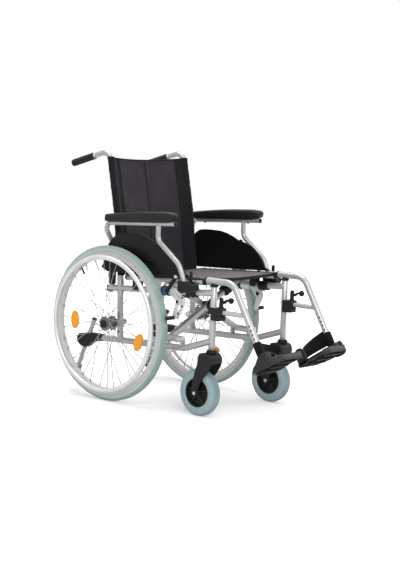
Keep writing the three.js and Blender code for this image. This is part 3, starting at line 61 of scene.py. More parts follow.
MM = 0.001
SIDES = {"left": 1, "right": -1}
axle_low, axle_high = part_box("left_wheel_axle")
# Places along y are written from the rear axle, as distances in mm.
AXLE_Y = (axle_low[1] + axle_high[1]) / 2 / MM


def linear(code):
    """An sRGB hex colour as linear red, green, blue and alpha."""
    channels = [int(code[i:i + 2], 16) / 255 for i in (1, 3, 5)]
    bright = [((c + 0.055) / 1.055) ** 2.4 if c > 0.04045 else c / 12.92 for c in channels]
    return (*bright, 1.0)


def wire(node, inputs):
    """Set a node's inputs: to a number, a hex colour, a socket or a node's first output."""
    for name, value in inputs.items():
        if isinstance(value, bpy.types.Node):
            value = next(socket for socket in value.outputs if socket.enabled)
        if isinstance(value, bpy.types.NodeSocket):
            node.id_data.links.new(value, node.inputs[name])
        else:
            node.inputs[name].default_value = linear(value) if isinstance(value, str) else value


def add(tree, kind, inputs=None, **settings):
    """Add a node, with its settings and its inputs."""
    node = tree.nodes.new("ShaderNode" + kind)
    for name, value in settings.items():
        setattr(node, name, value)
    wire(node, inputs or {})
    return node


def new_material(name, colour, roughness, metallic=0.0, specular=0.5, **sockets):
    """A material with one shader, set to a plain colour to start from."""
    material = bpy.data.materials.new(name)
    material.use_nodes = True
    shader = material.node_tree.nodes["Principled BSDF"]
    wire(shader, {"Base Color": colour, "Roughness": roughness, "Metallic": metallic,
                  "Specular IOR Level": specular})
    # Further sockets are written with _ for a space and small letters.
    wire(shader, {word.replace("_", " ").title(): value for word, value in sockets.items()})
    return material, material.node_tree, shader


focal_px, camera_distance = 1381.1, 5613.2
photo_long_side, sensor = 570, 36.0
azimuth, elevation, roll = (math.radians(a) for a in (-49.4, 6.3, 2.19))
aim_out, aim_height = 171.2, 446.1

back = Vector((math.sin(azimuth) * math.cos(elevation),
               -math.cos(azimuth) * math.cos(elevation),
               math.sin(elevation)))
level = Vector((math.cos(azimuth), math.sin(azimuth), 0))
upright = back.cross(level)
right = math.cos(roll) * level + math.sin(roll) * upright
top = math.cos(roll) * upright - math.sin(roll) * level
aim = Vector((aim_out * math.cos(azimuth), aim_out * math.sin(azimuth) + AXLE_Y, aim_height))
eye = (aim + back * camera_distance) * MM

camera_data = bpy.data.cameras.new("photo_camera")
camera_data.sensor_width = sensor
camera_data.lens = focal_px * sensor / photo_long_side
camera_data.clip_end = 100
camera = bpy.data.objects.new("photo_camera", camera_data)
camera.matrix_world = Matrix.Translation(eye) @ Matrix((right, top, back)).transposed().to_4x4()
bpy.context.scene.collection.objects.link(camera)
bpy.context.scene.camera = camera
bpy.context.scene.view_settings.view_transform = "Standard"

surround_light, floor_glow = 0.40, 0.34
world = bpy.data.worlds.new("white_surround")
world.use_nodes = True
bpy.context.scene.world = world
sky = world.node_tree
path = add(sky, "LightPath")
seen = add(sky, "Math", {0: path.outputs["Is Camera Ray"], 1: path.outputs["Is Glossy Ray"]},
           operation="MAXIMUM")
seen = add(sky, "Math", {0: seen, 1: path.outputs["Is Transmission Ray"]}, operation="MAXIMUM")
strength = add(sky, "MapRange", {"Value": seen, "To Min": surround_light, "To Max": 1.0})
wire(sky.nodes["Background"], {"Color": "#ffffff", "Strength": strength})

# White vinyl floor: matt, it shows a soft shadow near the chair and melts into the white
# surround further out.
floor_paint, paint, shader = new_material("white_vinyl_matt", "#f4f4f5", 0.75)
spread = add(paint, "VectorMath", {0: add(paint, "TexCoord").outputs["Object"]},
             operation="LENGTH")
glow = add(paint, "MapRange", {"Value": spread, "From Min": 0.9, "From Max": 3.2,
                               "To Min": floor_glow, "To Max": 1.0})
path = add(paint, "LightPath")
glow = add(paint, "Math", {0: path.outputs["Is Camera Ray"], 1: glow}, operation="MULTIPLY")
wire(shader, {"Emission Color": "#ffffff", "Emission Strength": glow})

floor_reach = 5.0
floor_mesh = bpy.data.meshes.new("floor")
corners = [(floor_reach * math.cos(math.radians(a)), floor_reach * math.sin(math.radians(a)), 0)
           for a in range(0, 360, 5)]
floor_mesh.from_pydata(corners, [], [list(range(len(corners)))])
floor = bpy.data.objects.new("floor", floor_mesh)
floor_mesh.materials.append(floor_paint)
bpy.context.scene.collection.objects.link(floor)

lamps = (
    ("key_lamp", (-2.6, -3.2, 3.4), 2.6, 105.0),
    ("fill_lamp", (3.6, -2.4, 2.2), 2.4, 26.0),
    ("top_lamp", (0.2, 0.6, 4.2), 3.0, 112.0),
)
for name, spot, size, watts in lamps:
    lamp = bpy.data.lights.new(name, "AREA")
    lamp.size = size
    lamp.energy = watts
    holder = bpy.data.objects.new(name, lamp)
    holder.location = spot
    facing = Vector((0, 0, aim_height * MM)) - holder.location
    holder.rotation_euler = facing.to_track_quat("-Z", "Y").to_euler()
    bpy.context.scene.collection.objects.link(holder)


# Side frames: each side is a welded frame of round aluminium tube: two rails, a front post
# that the caster turns in, and a rear post that carries the wheel and the cane.

BEND_STEP = math.radians(6)
TUBE_SIDES = 24


def bend(*corners):
    """A line through corners (x, y, z) or (x, y, z, radius), rounded where a radius is given."""
    spots = [Vector(corner[:3]) for corner in corners]
    line = [spots[0]]
    for i in range(1, len(corners) - 1):
        radius = corners[i][3] if len(corners[i]) > 3 else 0
        arriving = (spots[i] - spots[i - 1]).normalized()
        leaving = (spots[i + 1] - spots[i]).normalized()
        turn = arriving.angle(leaving)
        if radius == 0 or turn < 1e-4:
            line.append(spots[i])
            continue
        start = spots[i] - arriving * radius * math.tan(turn / 2)
        centre = spots[i] + (leaving - arriving).normalized() * radius / math.cos(turn / 2)
        axis = arriving.cross(leaving).normalized()
        steps = max(2, math.ceil(turn / BEND_STEP))
        line += [Matrix.Rotation(turn * k / steps, 3, axis) @ (start - centre) + centre
                 for k in range(steps + 1)]
    line.append(spots[-1])
    return line


def skin(form, rings, loop=False):
    """Join rings of points with faces, and close the two ends unless it is a loop."""
    rows = [[form.verts.new(spot) for spot in ring] for ring in rings]
    pairs = list(zip(rows, rows[1:])) + ([(rows[-1], rows[0])] if loop else [])
    for near, far in pairs:
        for i in range(len(near)):
            k = (i + 1) % len(near)
            form.faces.new((near[i], near[k], far[k], far[i]))
    if not loop:
        form.faces.new(rows[0][::-1])
        form.faces.new(rows[-1])


def sweep(form, line, radius, sides=TUBE_SIDES, loop=False, flat=1.0, first=None):
    """A round tube along a line. The radius is one number or one for each point of the line,
    flat squeezes the section across the first direction."""
    radii = radius if isinstance(radius, (list, tuple)) else [radius] * len(line)
    count = len(line)
    rings, side = [], None
    for i, spot in enumerate(line):
        before = line[i - 1] if i or loop else line[i]
        after = line[(i + 1) % count] if i < count - 1 or loop else line[i]
        along = (after - spot).normalized() + (spot - before).normalized()
        along.normalize()
        if side is None:
            side = Vector(first) if first else along.orthogonal()
        side = (side - along * side.dot(along)).normalized()
        other = along.cross(side)
        rings.append([spot + radii[i] * (side * math.cos(a) * flat + other * math.sin(a))
                      for a in (2 * math.pi * (k + 0.5) / sides for k in range(sides))])
    skin(form, rings, loop)


def lathe(form, profile, centre, axis, sides=TUBE_SIDES):
    """A profile of (radius, place along the axis) turned round the axis."""
    axis = Vector(axis).normalized()
    side = Vector((0, 1, 0)) if abs(axis.y) < 0.9 else Vector((1, 0, 0))
    side = (side - axis * side.dot(axis)).normalized()
    other = axis.cross(side)
    centre = Vector(centre)
    skin(form, [[centre + axis * place + radius * (side * math.cos(a) + other * math.sin(a))
                 for a in (2 * math.pi * k / sides for k in range(sides))]
                for radius, place in profile])


def mirrored(profile):
    """The second half of a profile that is alike on both sides."""
    return profile + [(radius, -place) for radius, place in reversed(profile)]


def arc(across, up, radius, start=0.0, steps=12):
    """Half a circle of points, to round the end of an outline."""
    return [(across + radius * math.cos(a), up + radius * math.sin(a))
            for a in (start + math.pi * k / steps for k in range(steps + 1))]


def rod(form, low, high, radius, sides=TUBE_SIDES, edge=0.8):
    """A straight bar with softened ends."""
    low, high = Vector(low), Vector(high)
    length = (high - low).length
    soft = min(edge, radius / 3, length / 3)
    lathe(form, [(radius - soft, 0), (radius, soft), (radius, length - soft),
                 (radius - soft, length)], low, high - low, sides)


def slab(form, outline, low, high, origin=(0, 0, 0), across=(0, 1, 0), up=(0, 0, 1), soft=1.0):
    """An outline of (across, up) made thick from low to high, with softened edges."""
    across, up, origin = Vector(across), Vector(up), Vector(origin)
    out = across.cross(up).normalized()
    middle = Vector((sum(a for a, _ in outline), sum(b for _, b in outline))) / len(outline)

    def ring(depth, inset):
        spots = []
        for a, b in outline:
            away = Vector((a, b)) - middle
            spot = Vector((a, b)) - away.normalized() * min(inset, away.length / 2)
            spots.append(origin + across * spot.x + up * spot.y + out * depth)
        return spots

    soft = min(soft, (high - low) / 3)
    skin(form, [ring(low, soft), ring(low + soft, 0), ring(high - soft, 0), ring(high, soft)])


def block(form, low, high, soft=2.0, round_by=4.0):
    """A box along the axes with rounded upright corners and softened rims."""
    (x0, y0, z0), (x1, y1, z1) = low, high
    outline = rounded_box(y0, y1, z0, z1, min(round_by, (y1 - y0) / 3, (z1 - z0) / 3))
    slab(form, outline, x0, x1, soft=soft)


def rounded_box(a0, a1, b0, b1, radius):
    """The outline of a rectangle with rounded corners."""
    outline, steps = [], 4
    for a, b, turn in ((a1, b1, 0), (a0, b1, 90), (a0, b0, 180), (a1, b0, 270)):
        a += -radius if a == a1 else radius
        b += -radius if b == b1 else radius
        for k in range(steps + 1):
            angle = math.radians(turn + 90 * k / steps)
            outline.append((a + radius * math.cos(angle), b + radius * math.sin(angle)))
    return outline


def make(name, form, material, body, sign=1, replaces=(), crease=38):
    """Turn a form in mm into a piece of the chair that rides on a body. Edges that turn by
    more degrees than the crease stay sharp."""
    for vert in form.verts:
        x, y, z = vert.co
        vert.co = (sign * x * MM, (y + AXLE_Y) * MM, z * MM)
    bmesh.ops.recalc_face_normals(form, faces=form.faces)
    mesh = bpy.data.meshes.new(name)
    form.to_mesh(mesh)
    form.free()
    mesh.shade_smooth()
    mesh.set_sharp_from_angle(angle=math.radians(crease))
    mesh.materials.append(material)
    piece = bpy.data.objects.new(name, mesh)
    bpy.context.scene.collection.objects.link(piece)
    if body:
        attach(piece, body)
    if replaces:
        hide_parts(*replaces)
    return piece


def fit(side, name, form, material, body, replaced=None, crease=38):
    """Make a piece of one side, whose name, body and CAD node begin with that side."""
    return make(f"{side}_{name}", form, material, f"{side}_{body}", SIDES[side],
                [f"{side}_{replaced}"] if replaced else (), crease)


def socket_screw(form, spot, axis, radius, height):
    """A socket-head screw: a round head with a hexagonal recess in its face."""
    spot, axis = Vector(spot), Vector(axis).normalized()
    lathe(form, [(radius, 0), (radius, height * 0.75), (radius * 0.86, height),
                 (radius * 0.55, height)], spot, axis, 18)
    lathe(form, [(radius * 0.5, height - 0.2), (radius * 0.5, height + 0.15)], spot, axis, 6)


def weld(form, spot, main, joining, main_radius, radius, bead=2.1):
    """The bead round the end of a tube that meets another, a row of small overlapping drops."""
    spot, main, joining = Vector(spot), Vector(main).normalized(), Vector(joining).normalized()
    side = main.cross(joining).normalized()
    line, drops = [], 44
    for a in (2 * math.pi * i / drops for i in range(drops)):
        across = radius * 0.97 * math.sin(a)
        rise = math.sqrt(max(main_radius ** 2 - across ** 2, 0))
        line.append(spot + joining * rise + main * radius * math.cos(a) + side * across)
    sweep(form, line, [bead * 0.86, bead] * (drops // 2), 8, loop=True)


def clouded(name, colour, roughness, metallic=0.0, specular=0.5, *, cloud, shades, gloss=None,
            worn=None, grain=None, **sockets):
    """A finish whose shade, and gloss if given, drift between two values in soft clouds.
    Worn is where pointed edges start and stop to show, how much, and their colour. Grain is
    the bump's scale, detail, strength and depth."""
    material, tree, shader = new_material(name, colour, roughness, metallic, specular, **sockets)
    where = add(tree, "TexCoord").outputs["Object"]
    drift = add(tree, "TexNoise", {"Vector": where, "Scale": cloud[0], "Detail": cloud[1]})
    shade = add(tree, "Mix", {"Factor": drift, "A": shades[0], "B": shades[1]}, data_type="RGBA")
    if worn:
        edge = add(tree, "MapRange", {"Value": add(tree, "NewGeometry").outputs["Pointiness"],
                                      "From Min": worn[0], "From Max": worn[1], "To Max": worn[2]})
        shade = add(tree, "Mix", {"Factor": edge, "A": shade, "B": worn[3]}, data_type="RGBA")
    wire(shader, {"Base Color": shade})
    if gloss:
        wire(shader, {"Roughness": add(tree, "MapRange", {"Value": drift, "To Min": gloss[0],
                                                          "To Max": gloss[1]})})
    if grain:
        pits = add(tree, "TexNoise", {"Vector": where, "Scale": grain[0], "Detail": grain[1]})
        wire(shader, {"Normal": add(tree, "Bump", {"Height": pits, "Strength": grain[2],
                                                   "Distance": grain[3]})})
    return material


# Powder-coated aluminium, sprayed and baked: a satin silver with fine metal flake,
# an even skin with the faintest orange-peel, and a little less colour at rubbed edges.
silver_paint, paint, shader = new_material("powder_coated_aluminium_satin", "#c4c5c8", 0.36, 0.45,
                                           coat_weight=0.25, coat_roughness=0.3)
FLAKE_MM, PEEL_MM = 0.6, 4.0
where = add(paint, "TexCoord").outputs["Object"]
flake = add(paint, "TexNoise", {"Vector": where, "Scale": 1 / (FLAKE_MM * MM), "Detail": 2.0})
cloud = add(paint, "TexNoise", {"Vector": where, "Scale": 9.0, "Detail": 3.0})
mixed = add(paint, "Math", {0: flake, 1: cloud}, operation="ADD")
tone = add(paint, "MapRange", {"Value": mixed, "From Min": 0.7, "From Max": 1.3})
shade = add(paint, "Mix", {"Factor": tone, "A": "#a3a3a4", "B": "#bcbcbd"}, data_type="RGBA")
worn = add(paint, "MapRange", {"Value": add(paint, "NewGeometry").outputs["Pointiness"],
                               "From Min": 0.53, "From Max": 0.6, "To Max": 0.5})
shade = add(paint, "Mix", {"Factor": worn, "A": shade, "B": "#d8d8d8"}, data_type="RGBA")
gloss = add(paint, "MapRange", {"Value": cloud, "To Min": 0.28, "To Max": 0.44})
peel = add(paint, "TexNoise", {"Vector": where, "Scale": 1 / (PEEL_MM * MM), "Detail": 1.0})
bump = add(paint, "Bump", {"Height": peel, "Strength": 0.08, "Distance": 0.0004})
wire(shader, {"Base Color": shade, "Roughness": gloss, "Normal": bump})

# Glass-filled nylon, injection moulded and spark-eroded: black, softly shining,
# with the fine grain of the tool and slightly paler where hands have polished it.
GRAIN_MM = 0.7
black_nylon = clouded("moulded_nylon_grained", "#1b1b1d", 0.46, specular=0.22,
                      cloud=(25.0, 3.0), shades=("#0c0c0d", "#1b1b1d"), gloss=(0.36, 0.56),
                      worn=(0.52, 0.62, 0.55, "#3a3a3d"),
                      grain=(1 / (GRAIN_MM * MM), 3.0, 0.2, 0.0004))

# Black-oxide steel, the finish of socket screws: dark, slightly oily metal.
black_steel = clouded("black_oxide_steel", "#2a2a2c", 0.35, 0.8, cloud=(220.0, 3.0),
                      shades=("#1d1d1f", "#39393b"), gloss=(0.25, 0.5))

# Zinc-plated steel, the finish of plain bolts and nuts: bright blue-grey metal with a
# faint cloudy bloom.
zinc_steel = clouded("zinc_plated_steel", "#c3c6c9", 0.3, 0.95, cloud=(160.0, 4.0),
                     shades=("#b2b6ba", "#d6d8da"), gloss=(0.2, 0.42))

HALF_WIDTH = 217.0
RAIL_R = 12.5
POST_Y, POST_LOW, POST_HIGH = -482.0, 256.0, 494.0
REAR_POST_LOW, REAR_POST_HIGH = 234.0, 528.0
UPPER_RAIL_END, LOWER_RAIL_END, LOWER_RAIL_FRONT_Z = 62.0, 85.0, 291.0
RECEIVER_Y, RECEIVER_R = 48.0, 10.0
SLEEVE_LOW, SLEEVE_HIGH = 453.0, 479.0
ARM_PIN_Z = 494.0
AXLE_Z, AXLE_SLEEVE_R = 305.0, 15.0
# The rails drop towards the back and the rear post leans, by these angles.
UPPER_DROP, LOWER_DROP, SEAT_DROP, POST_LEAN = (math.radians(a) for a in (3.5, 1.9, 2.8, 2.3))


def mid(y, z):
    """A place in the middle plane of the side frame."""
    return Vector((HALF_WIDTH, y, z))


def upper_rail(y):
    """A place on the axis of the upper rail; the next three do the same for their tubes."""
    return mid(y, 440 - y * math.tan(UPPER_DROP))


def lower_rail(y):
    return mid(y, 234 - y * math.tan(LOWER_DROP))


def seat_rail(y):
    return mid(y, 485.5 - y * math.tan(SEAT_DROP))


def rear_post(z):
    return mid(-7 + (z - REAR_POST_LOW) * math.tan(POST_LEAN), z)


BRACE_PIN_Z, BRACE_PIN_FRONT, BRACE_PIN_REAR, LUG = 277.0, -332.0, -228.0, 6.0
SADDLE_SPOTS = (-92.0, -328.0)
UP, OUT = Vector((0, 0, 1)), Vector((1, 0, 0))
RAIL_WAY = upper_rail(-1) - upper_rail(0)

for side in SIDES:
    form = bmesh.new()
    knee, front = lower_rail(-345), mid(POST_Y, LOWER_RAIL_FRONT_Z)
    sweep(form, bend(lower_rail(LOWER_RAIL_END), (*knee, 150), front), RAIL_R)
    sweep(form, [upper_rail(UPPER_RAIL_END), upper_rail(POST_Y)], RAIL_R)
    rod(form, mid(POST_Y, POST_LOW), mid(POST_Y, POST_HIGH), RAIL_R)
    rod(form, rear_post(REAR_POST_LOW), rear_post(REAR_POST_HIGH), RAIL_R)
    rod(form, upper_rail(RECEIVER_Y), mid(RECEIVER_Y, SLEEVE_HIGH), RECEIVER_R)
    rod(form, (200, 0, AXLE_Z), (238, 0, AXLE_Z), AXLE_SLEEVE_R, 32, 1.5)
    weld(form, upper_rail(RECEIVER_Y), RAIL_WAY, UP, RAIL_R, RECEIVER_R)
    weld(form, lower_rail(-7), RAIL_WAY, UP, RAIL_R, RAIL_R)
    for turn in (UP, -UP):
        weld(form, upper_rail(6), RAIL_WAY, turn, RAIL_R, RAIL_R)
    weld(form, upper_rail(POST_Y), UP, (0, 1, 0.06), RAIL_R, RAIL_R)
    weld(form, front, UP, (0, 1, -0.35), RAIL_R, RAIL_R)
    for turn in (OUT, -OUT):
        weld(form, rear_post(AXLE_Z), UP, turn, RAIL_R, AXLE_SLEEVE_R, 1.8)
    # Two lugs on the lower rail hold the pin that the cross brace turns on.
    for near, far in ((BRACE_PIN_FRONT - 0.3 - LUG, BRACE_PIN_FRONT - 0.3),
                      (BRACE_PIN_REAR + 0.3, BRACE_PIN_REAR + 0.3 + LUG)):
        floor_z = lower_rail(near).z + RAIL_R * 0.7
        outline = [(HALF_WIDTH - 12, floor_z), (HALF_WIDTH + 12, floor_z)]
        outline += arc(HALF_WIDTH, BRACE_PIN_Z, 13)
        slab(form, outline, -far, -near, across=OUT, soft=0.8)
    fit(side, "frame_tubes", form, silver_paint, "frame", "side_frame", 50)

    form = bmesh.new()
    # A collar closes the front post's foot, a sleeve and a forked head the armrest receiver.
    collar = [(13.5, 0), (19.5, 0), (21, 1.5), (21, 6), (19, 8), (19, 9.5), (20, 10.5),
              (19.5, 11.5), (14, 11.5)]
    lathe(form, collar, mid(POST_Y, POST_LOW - 11), UP, 36)
    sleeve = [(11, 0), (14, 0), (15, 1), (15, 24), (14, 26), (11, 26)]
    lathe(form, sleeve, mid(RECEIVER_Y, SLEEVE_LOW), UP, 32)
    rod(form, mid(RECEIVER_Y, SLEEVE_HIGH - 3), mid(RECEIVER_Y, 483), 7.5)
    ear = [(RECEIVER_Y - 10, 480.5), (RECEIVER_Y + 10, 480.5)] + arc(RECEIVER_Y, ARM_PIN_Z, 10)
    for low, high in ((-13.8, -9.8), (9.8, 13.8)):
        slab(form, ear, HALF_WIDTH + low, HALF_WIDTH + high)
    block(form, (HALF_WIDTH - 13.8, RECEIVER_Y - 10, 479.5),
          (HALF_WIDTH + 13.8, RECEIVER_Y + 10, 483.8), 1.2)
    # A cap closes the upper rail's rear end, and two saddles on it carry the seat rail.
    end = upper_rail(UPPER_RAIL_END)
    fin = [(end.y - 1, end.z + 12), (end.y + 3.5, end.z + 12), (end.y + 5, end.z + 9),
           (end.y + 5, end.z - 12.5), (end.y - 16, end.z - 15.5), (end.y - 18, end.z - 12),
           (end.y - 1, end.z - 11)]
    slab(form, fin, HALF_WIDTH - 12, HALF_WIDTH + 12, soft=3)
    for y in SADDLE_SPOTS:
        rail, seat = upper_rail(y).z, seat_rail(y).z
        outline = [(HALF_WIDTH - 14, seat + 1)] + arc(HALF_WIDTH, seat, 11.6, math.pi, 14) + [
            (HALF_WIDTH + 14, seat + 1), (HALF_WIDTH + 16.5, seat - 3),
            (HALF_WIDTH + 15, rail + 4), (HALF_WIDTH + 13.2, rail - 4),
            (HALF_WIDTH - 13.2, rail - 4), (HALF_WIDTH - 15, rail + 4),
            (HALF_WIDTH - 16.5, seat - 3)]
        slab(form, outline, -y - 15, -y + 15, across=OUT, soft=1.2)
        for step in (-9, 9):
            block(form, (HALF_WIDTH + 13, y + step - 1.5, rail + 2),
                  (HALF_WIDTH + 16.8, y + step + 1.5, seat - 5), 0.8, 1)
    fit(side, "frame_fittings", form, black_nylon, "frame")

    form = bmesh.new()
    for y in SADDLE_SPOTS:
        spot = Vector((HALF_WIDTH + 14.5, y, (upper_rail(y).z + seat_rail(y).z) / 2 - 2))
        socket_screw(form, spot, OUT, 4, 3)
    socket_screw(form, (HALF_WIDTH + 14.5, RECEIVER_Y, SLEEVE_LOW + 10), OUT, 3.6, 2.4)
    socket_screw(form, (HALF_WIDTH + 13.5, RECEIVER_Y, ARM_PIN_Z), OUT, 6, 2.5)
    socket_screw(form, (HALF_WIDTH - 13.5, RECEIVER_Y, ARM_PIN_Z), -OUT, 6, 2.5)
    for z in (REAR_POST_HIGH - 14, 345, 268):
        socket_screw(form, rear_post(z) + OUT * (RAIL_R - 0.6), OUT, 4.2, 2.6)
    fit(side, "frame_screws", form, black_steel, "frame")

    form = bmesh.new()
    for near, way in ((BRACE_PIN_FRONT - 6, (0, -1, 0)), (BRACE_PIN_REAR + 6, (0, 1, 0))):
        lathe(form, [(9, 0), (9, 1.4), (6.5, 1.4), (6.5, 5), (5, 6)],
              mid(near, BRACE_PIN_Z), way, 6)
    fit(side, "brace_pin", form, zinc_steel, "frame")


# Back canes: bent aluminium tubes that slide into the rear posts, held by a screw,
# with ribbed rubber grips pushed on their ends.

# Moulded thermoplastic rubber: soft black with no shine, a dusty bloom on its ribs.
grip_rubber = clouded("thermoplastic_rubber_ribbed", "#1d1d1f", 0.75, specular=0.22,
                      cloud=(120.0, 4.0), shades=("#0e0e10", "#222224"),
                      worn=(0.51, 0.6, 0.5, "#414144"), grain=(1800.0, 2.0, 0.25, 0.0003),
                      sheen_weight=0.15)

CANE_R = 11.0
CANE_FOOT, CANE_KNEE, CANE_TOP = rear_post(532), (31, 735), (81, 979)
CANE = [rear_post(486), (*CANE_FOOT, 42), (HALF_WIDTH, *CANE_KNEE, 300),
        (HALF_WIDTH, *CANE_TOP, 42), mid(282, 921)]
GRIP_LENGTH, RIB_PITCH = 124.0, 4.0

for side in SIDES:
    form = bmesh.new()
    sweep(form, bend(*CANE), CANE_R)
    fit(side, "cane_tube", form, silver_paint, "frame", "back_cane", 50)

    form = bmesh.new()
    end, before = Vector(CANE[4]), Vector(CANE[3][:3])
    along = (before - end).normalized()
    profile = [(4, -4), (11, -3.8), (13.2, -2.6), (14.2, 0)]
    place = 3.0
    while place < GRIP_LENGTH - 12:
        profile += [(13.3, place), (14.3, place + 0.9), (14.3, place + 2.2), (13.3, place + 3.1)]
        place += RIB_PITCH
    profile += [(13.4, GRIP_LENGTH - 9), (14.8, GRIP_LENGTH - 7), (14.8, GRIP_LENGTH - 1),
                (13.5, GRIP_LENGTH), (11.3, GRIP_LENGTH)]
    lathe(form, profile, end, along, 32)
    fit(side, "grip", form, grip_rubber, "frame", "push_grip", 50)

    form = bmesh.new()
    lathe(form, [(11.2, 0.5), (13.6, 0.5), (14, 1.2), (14, 3.6), (13.2, 4.4), (11.2, 4.4)],
          end + along * GRIP_LENGTH, along, 32)
    fit(side, "grip_ring", form, zinc_steel, "frame")


# Rear wheels: a 24 inch pneumatic tyre on a double-wall aluminium rim, 36 laced
# steel spokes, a push rim on six brackets, and two reflectors between the spokes.

WHEEL_X = 279.0
RIM_OUT, RIM_IN, RIM_HALF = 279.0, 259.0, 12.0


def from_axle(tree, spot, y, height):
    """How far a split place lies from a wheel's axle, seen from the side."""
    flat_spot = add(tree, "CombineXYZ", {"Y": spot.outputs["Y"], "Z": spot.outputs["Z"]})
    return add(tree, "VectorMath", {0: flat_spot, 1: (0, (y + AXLE_Y) * MM, height * MM)},
               operation="DISTANCE")


# Grey non-marking rubber, moulded in a ribbed press: matt blue-grey, chalky where it
# meets the ground, with fine ribs across the shoulder of the tread.
tyre_rubber, rubber, shader = new_material("grey_tyre_rubber_moulded", "#a9b8b3", 0.72,
                                           sheen_weight=0.1)
SHOULDER_RIBS = 300
where = add(rubber, "TexCoord").outputs["Object"]
spot = add(rubber, "SeparateXYZ", {"Vector": where})
ahead = add(rubber, "Math", {0: spot.outputs["Y"], 1: AXLE_Y * MM}, operation="SUBTRACT")
rise = add(rubber, "Math", {0: spot.outputs["Z"], 1: AXLE_Z * MM}, operation="SUBTRACT")
turn = add(rubber, "Math", {0: rise, 1: ahead}, operation="ARCTAN2")
wave = add(rubber, "Math", {0: turn, 1: SHOULDER_RIBS}, operation="MULTIPLY")
wave = add(rubber, "Math", {0: wave}, operation="SINE")
shoulder = add(rubber, "MapRange", {"Value": from_axle(rubber, spot, 0, AXLE_Z),
                                    "From Min": 0.291, "From Max": 0.297})
ribs = add(rubber, "Math", {0: wave, 1: shoulder}, operation="MULTIPLY")
cloud = add(rubber, "TexNoise", {"Vector": where, "Scale": 30.0, "Detail": 4.0})
shade = add(rubber, "Mix", {"Factor": shoulder, "A": "#c3d1cf", "B": "#96adab"}, data_type="RGBA")
chalk = add(rubber, "MapRange", {"Value": cloud, "From Min": 0.35, "From Max": 0.75,
                                 "To Max": 0.35})
shade = add(rubber, "Mix", {"Factor": chalk, "A": shade, "B": "#c9d3d0"}, data_type="RGBA")
bump = add(rubber, "Bump", {"Height": ribs, "Strength": 0.8, "Distance": 0.0012})
grit = add(rubber, "TexNoise", {"Vector": where, "Scale": 1500.0, "Detail": 2.0})
bump = add(rubber, "Bump", {"Height": grit, "Strength": 0.12, "Distance": 0.0004, "Normal": bump})
wire(shader, {"Base Color": shade, "Normal": bump})

# Extruded aluminium rim, enamelled cream: smooth and glossy with faint road film.
rim_enamel = clouded("enamelled_aluminium_cream", "#dfdbd2", 0.3, cloud=(18.0, 5.0),
                     shades=("#cfcdc8", "#e3e1dc"), gloss=(0.2, 0.42),
                     coat_weight=0.4, coat_roughness=0.15)

# Stainless steel wire, drawn and polished: bright, with streaks along its length too fine
# to show, so the streaks are drawn 3 mm long.
spoke_steel = clouded("stainless_steel_drawn", "#a2a5a8", 0.3, 0.4, cloud=(330.0, 2.0),
                      shades=("#8b8e91", "#b0b3b5"), gloss=(0.18, 0.38))

# Anodised aluminium, turned: dark grey metal with fine rings, the finish of the hub.
dark_aluminium = clouded("anodised_aluminium_dark", "#5d6366", 0.35, 0.7, cloud=(400.0, 3.0),
                         shades=("#565c60", "#868c90"), gloss=(0.25, 0.5))

# Anodised aluminium tube, brushed round the ring: near-white metal, satin, with hair-fine
# lines round it.
push_rim_metal, metal, shader = new_material("anodised_aluminium_brushed", "#e4e5e6", 0.28, 0.55)
where = add(metal, "TexCoord").outputs["Object"]
spot = add(metal, "SeparateXYZ", {"Vector": where})
rings = add(metal, "CombineXYZ", {"X": spot.outputs["X"], "Y": from_axle(metal, spot, 0, AXLE_Z)})
lines = add(metal, "TexNoise", {"Vector": rings, "Scale": 900.0, "Detail": 3.0})
gloss = add(metal, "MapRange", {"Value": lines, "To Min": 0.2, "To Max": 0.42})
bump = add(metal, "Bump", {"Height": lines, "Strength": 0.1, "Distance": 0.0003})
cloud = add(metal, "TexNoise", {"Vector": where, "Scale": 14.0, "Detail": 3.0})
shade = add(metal, "Mix", {"Factor": cloud, "A": "#d3d5d7", "B": "#f0f1f1"}, data_type="RGBA")
wire(shader, {"Base Color": shade, "Roughness": gloss, "Normal": bump})

# Moulded acrylic reflector: clear orange with a honeycomb of prisms behind its gloss.
reflector, acrylic, shader = new_material("moulded_acrylic_prismatic", "#f7a416", 0.18,
                                          specular=0.3, coat_weight=0.3, coat_roughness=0.05)
PRISM_MM = 3.0
prism = add(acrylic, "TexVoronoi", {"Vector": add(acrylic, "TexCoord").outputs["Object"],
                                    "Scale": 1 / (PRISM_MM * MM), "Randomness": 0.15})
shade = add(acrylic, "Mix", {"Factor": prism, "A": "#ffbe1f", "B": "#ff9200"}, data_type="RGBA")
bump = add(acrylic, "Bump", {"Height": prism, "Strength": 0.5, "Distance": 0.0006})
wire(shader, {"Base Color": shade, "Normal": bump})

TREAD = mirrored([(RIM_OUT + 0.3, -11.6), (283, -13.6), (287, -16.1), (291, -17.2), (295, -16.7),
                  (299, -14.6), (302, -11.2), (304, -7.6), (305, -5.0), (304.2, -4.2),
                  (304.4, -3.4), (305, -2.8), (305, -0.9), (304.2, -0.4)])
RIM = mirrored([(RIM_IN + 1.2, -9.5), (RIM_IN + 4, -11), (RIM_OUT - 6, -11.6), (RIM_OUT - 1, -12),
                (RIM_OUT, -11), (RIM_OUT - 2.5, -9.8), (RIM_OUT - 5, -9)])
RIM += [(RIM_IN, 6), (RIM_IN, -6)]
WHEEL_SIDES = 120
HUB_FLANGE_R, HUB_HALF = 30.0, 27.0
SPOKES, LACE = 18, math.radians(55)
PUSH_R, PUSH_TUBE_R, PUSH_X = 261.0, 9.5, 317.0
PUSH_TABS, TAB_TURN = 6, math.radians(14)
# Both reflectors sit where the photograph shows them, at a radius and an angle.
REFLECTORS = {"right": ((188.0, math.radians(-2)), (172.0, math.radians(-161))),
              "left": ((174.0, math.radians(-115)), (188.0, math.radians(37)))}
REFLECTOR_LONG, REFLECTOR_WIDE = 36.0, 20.0


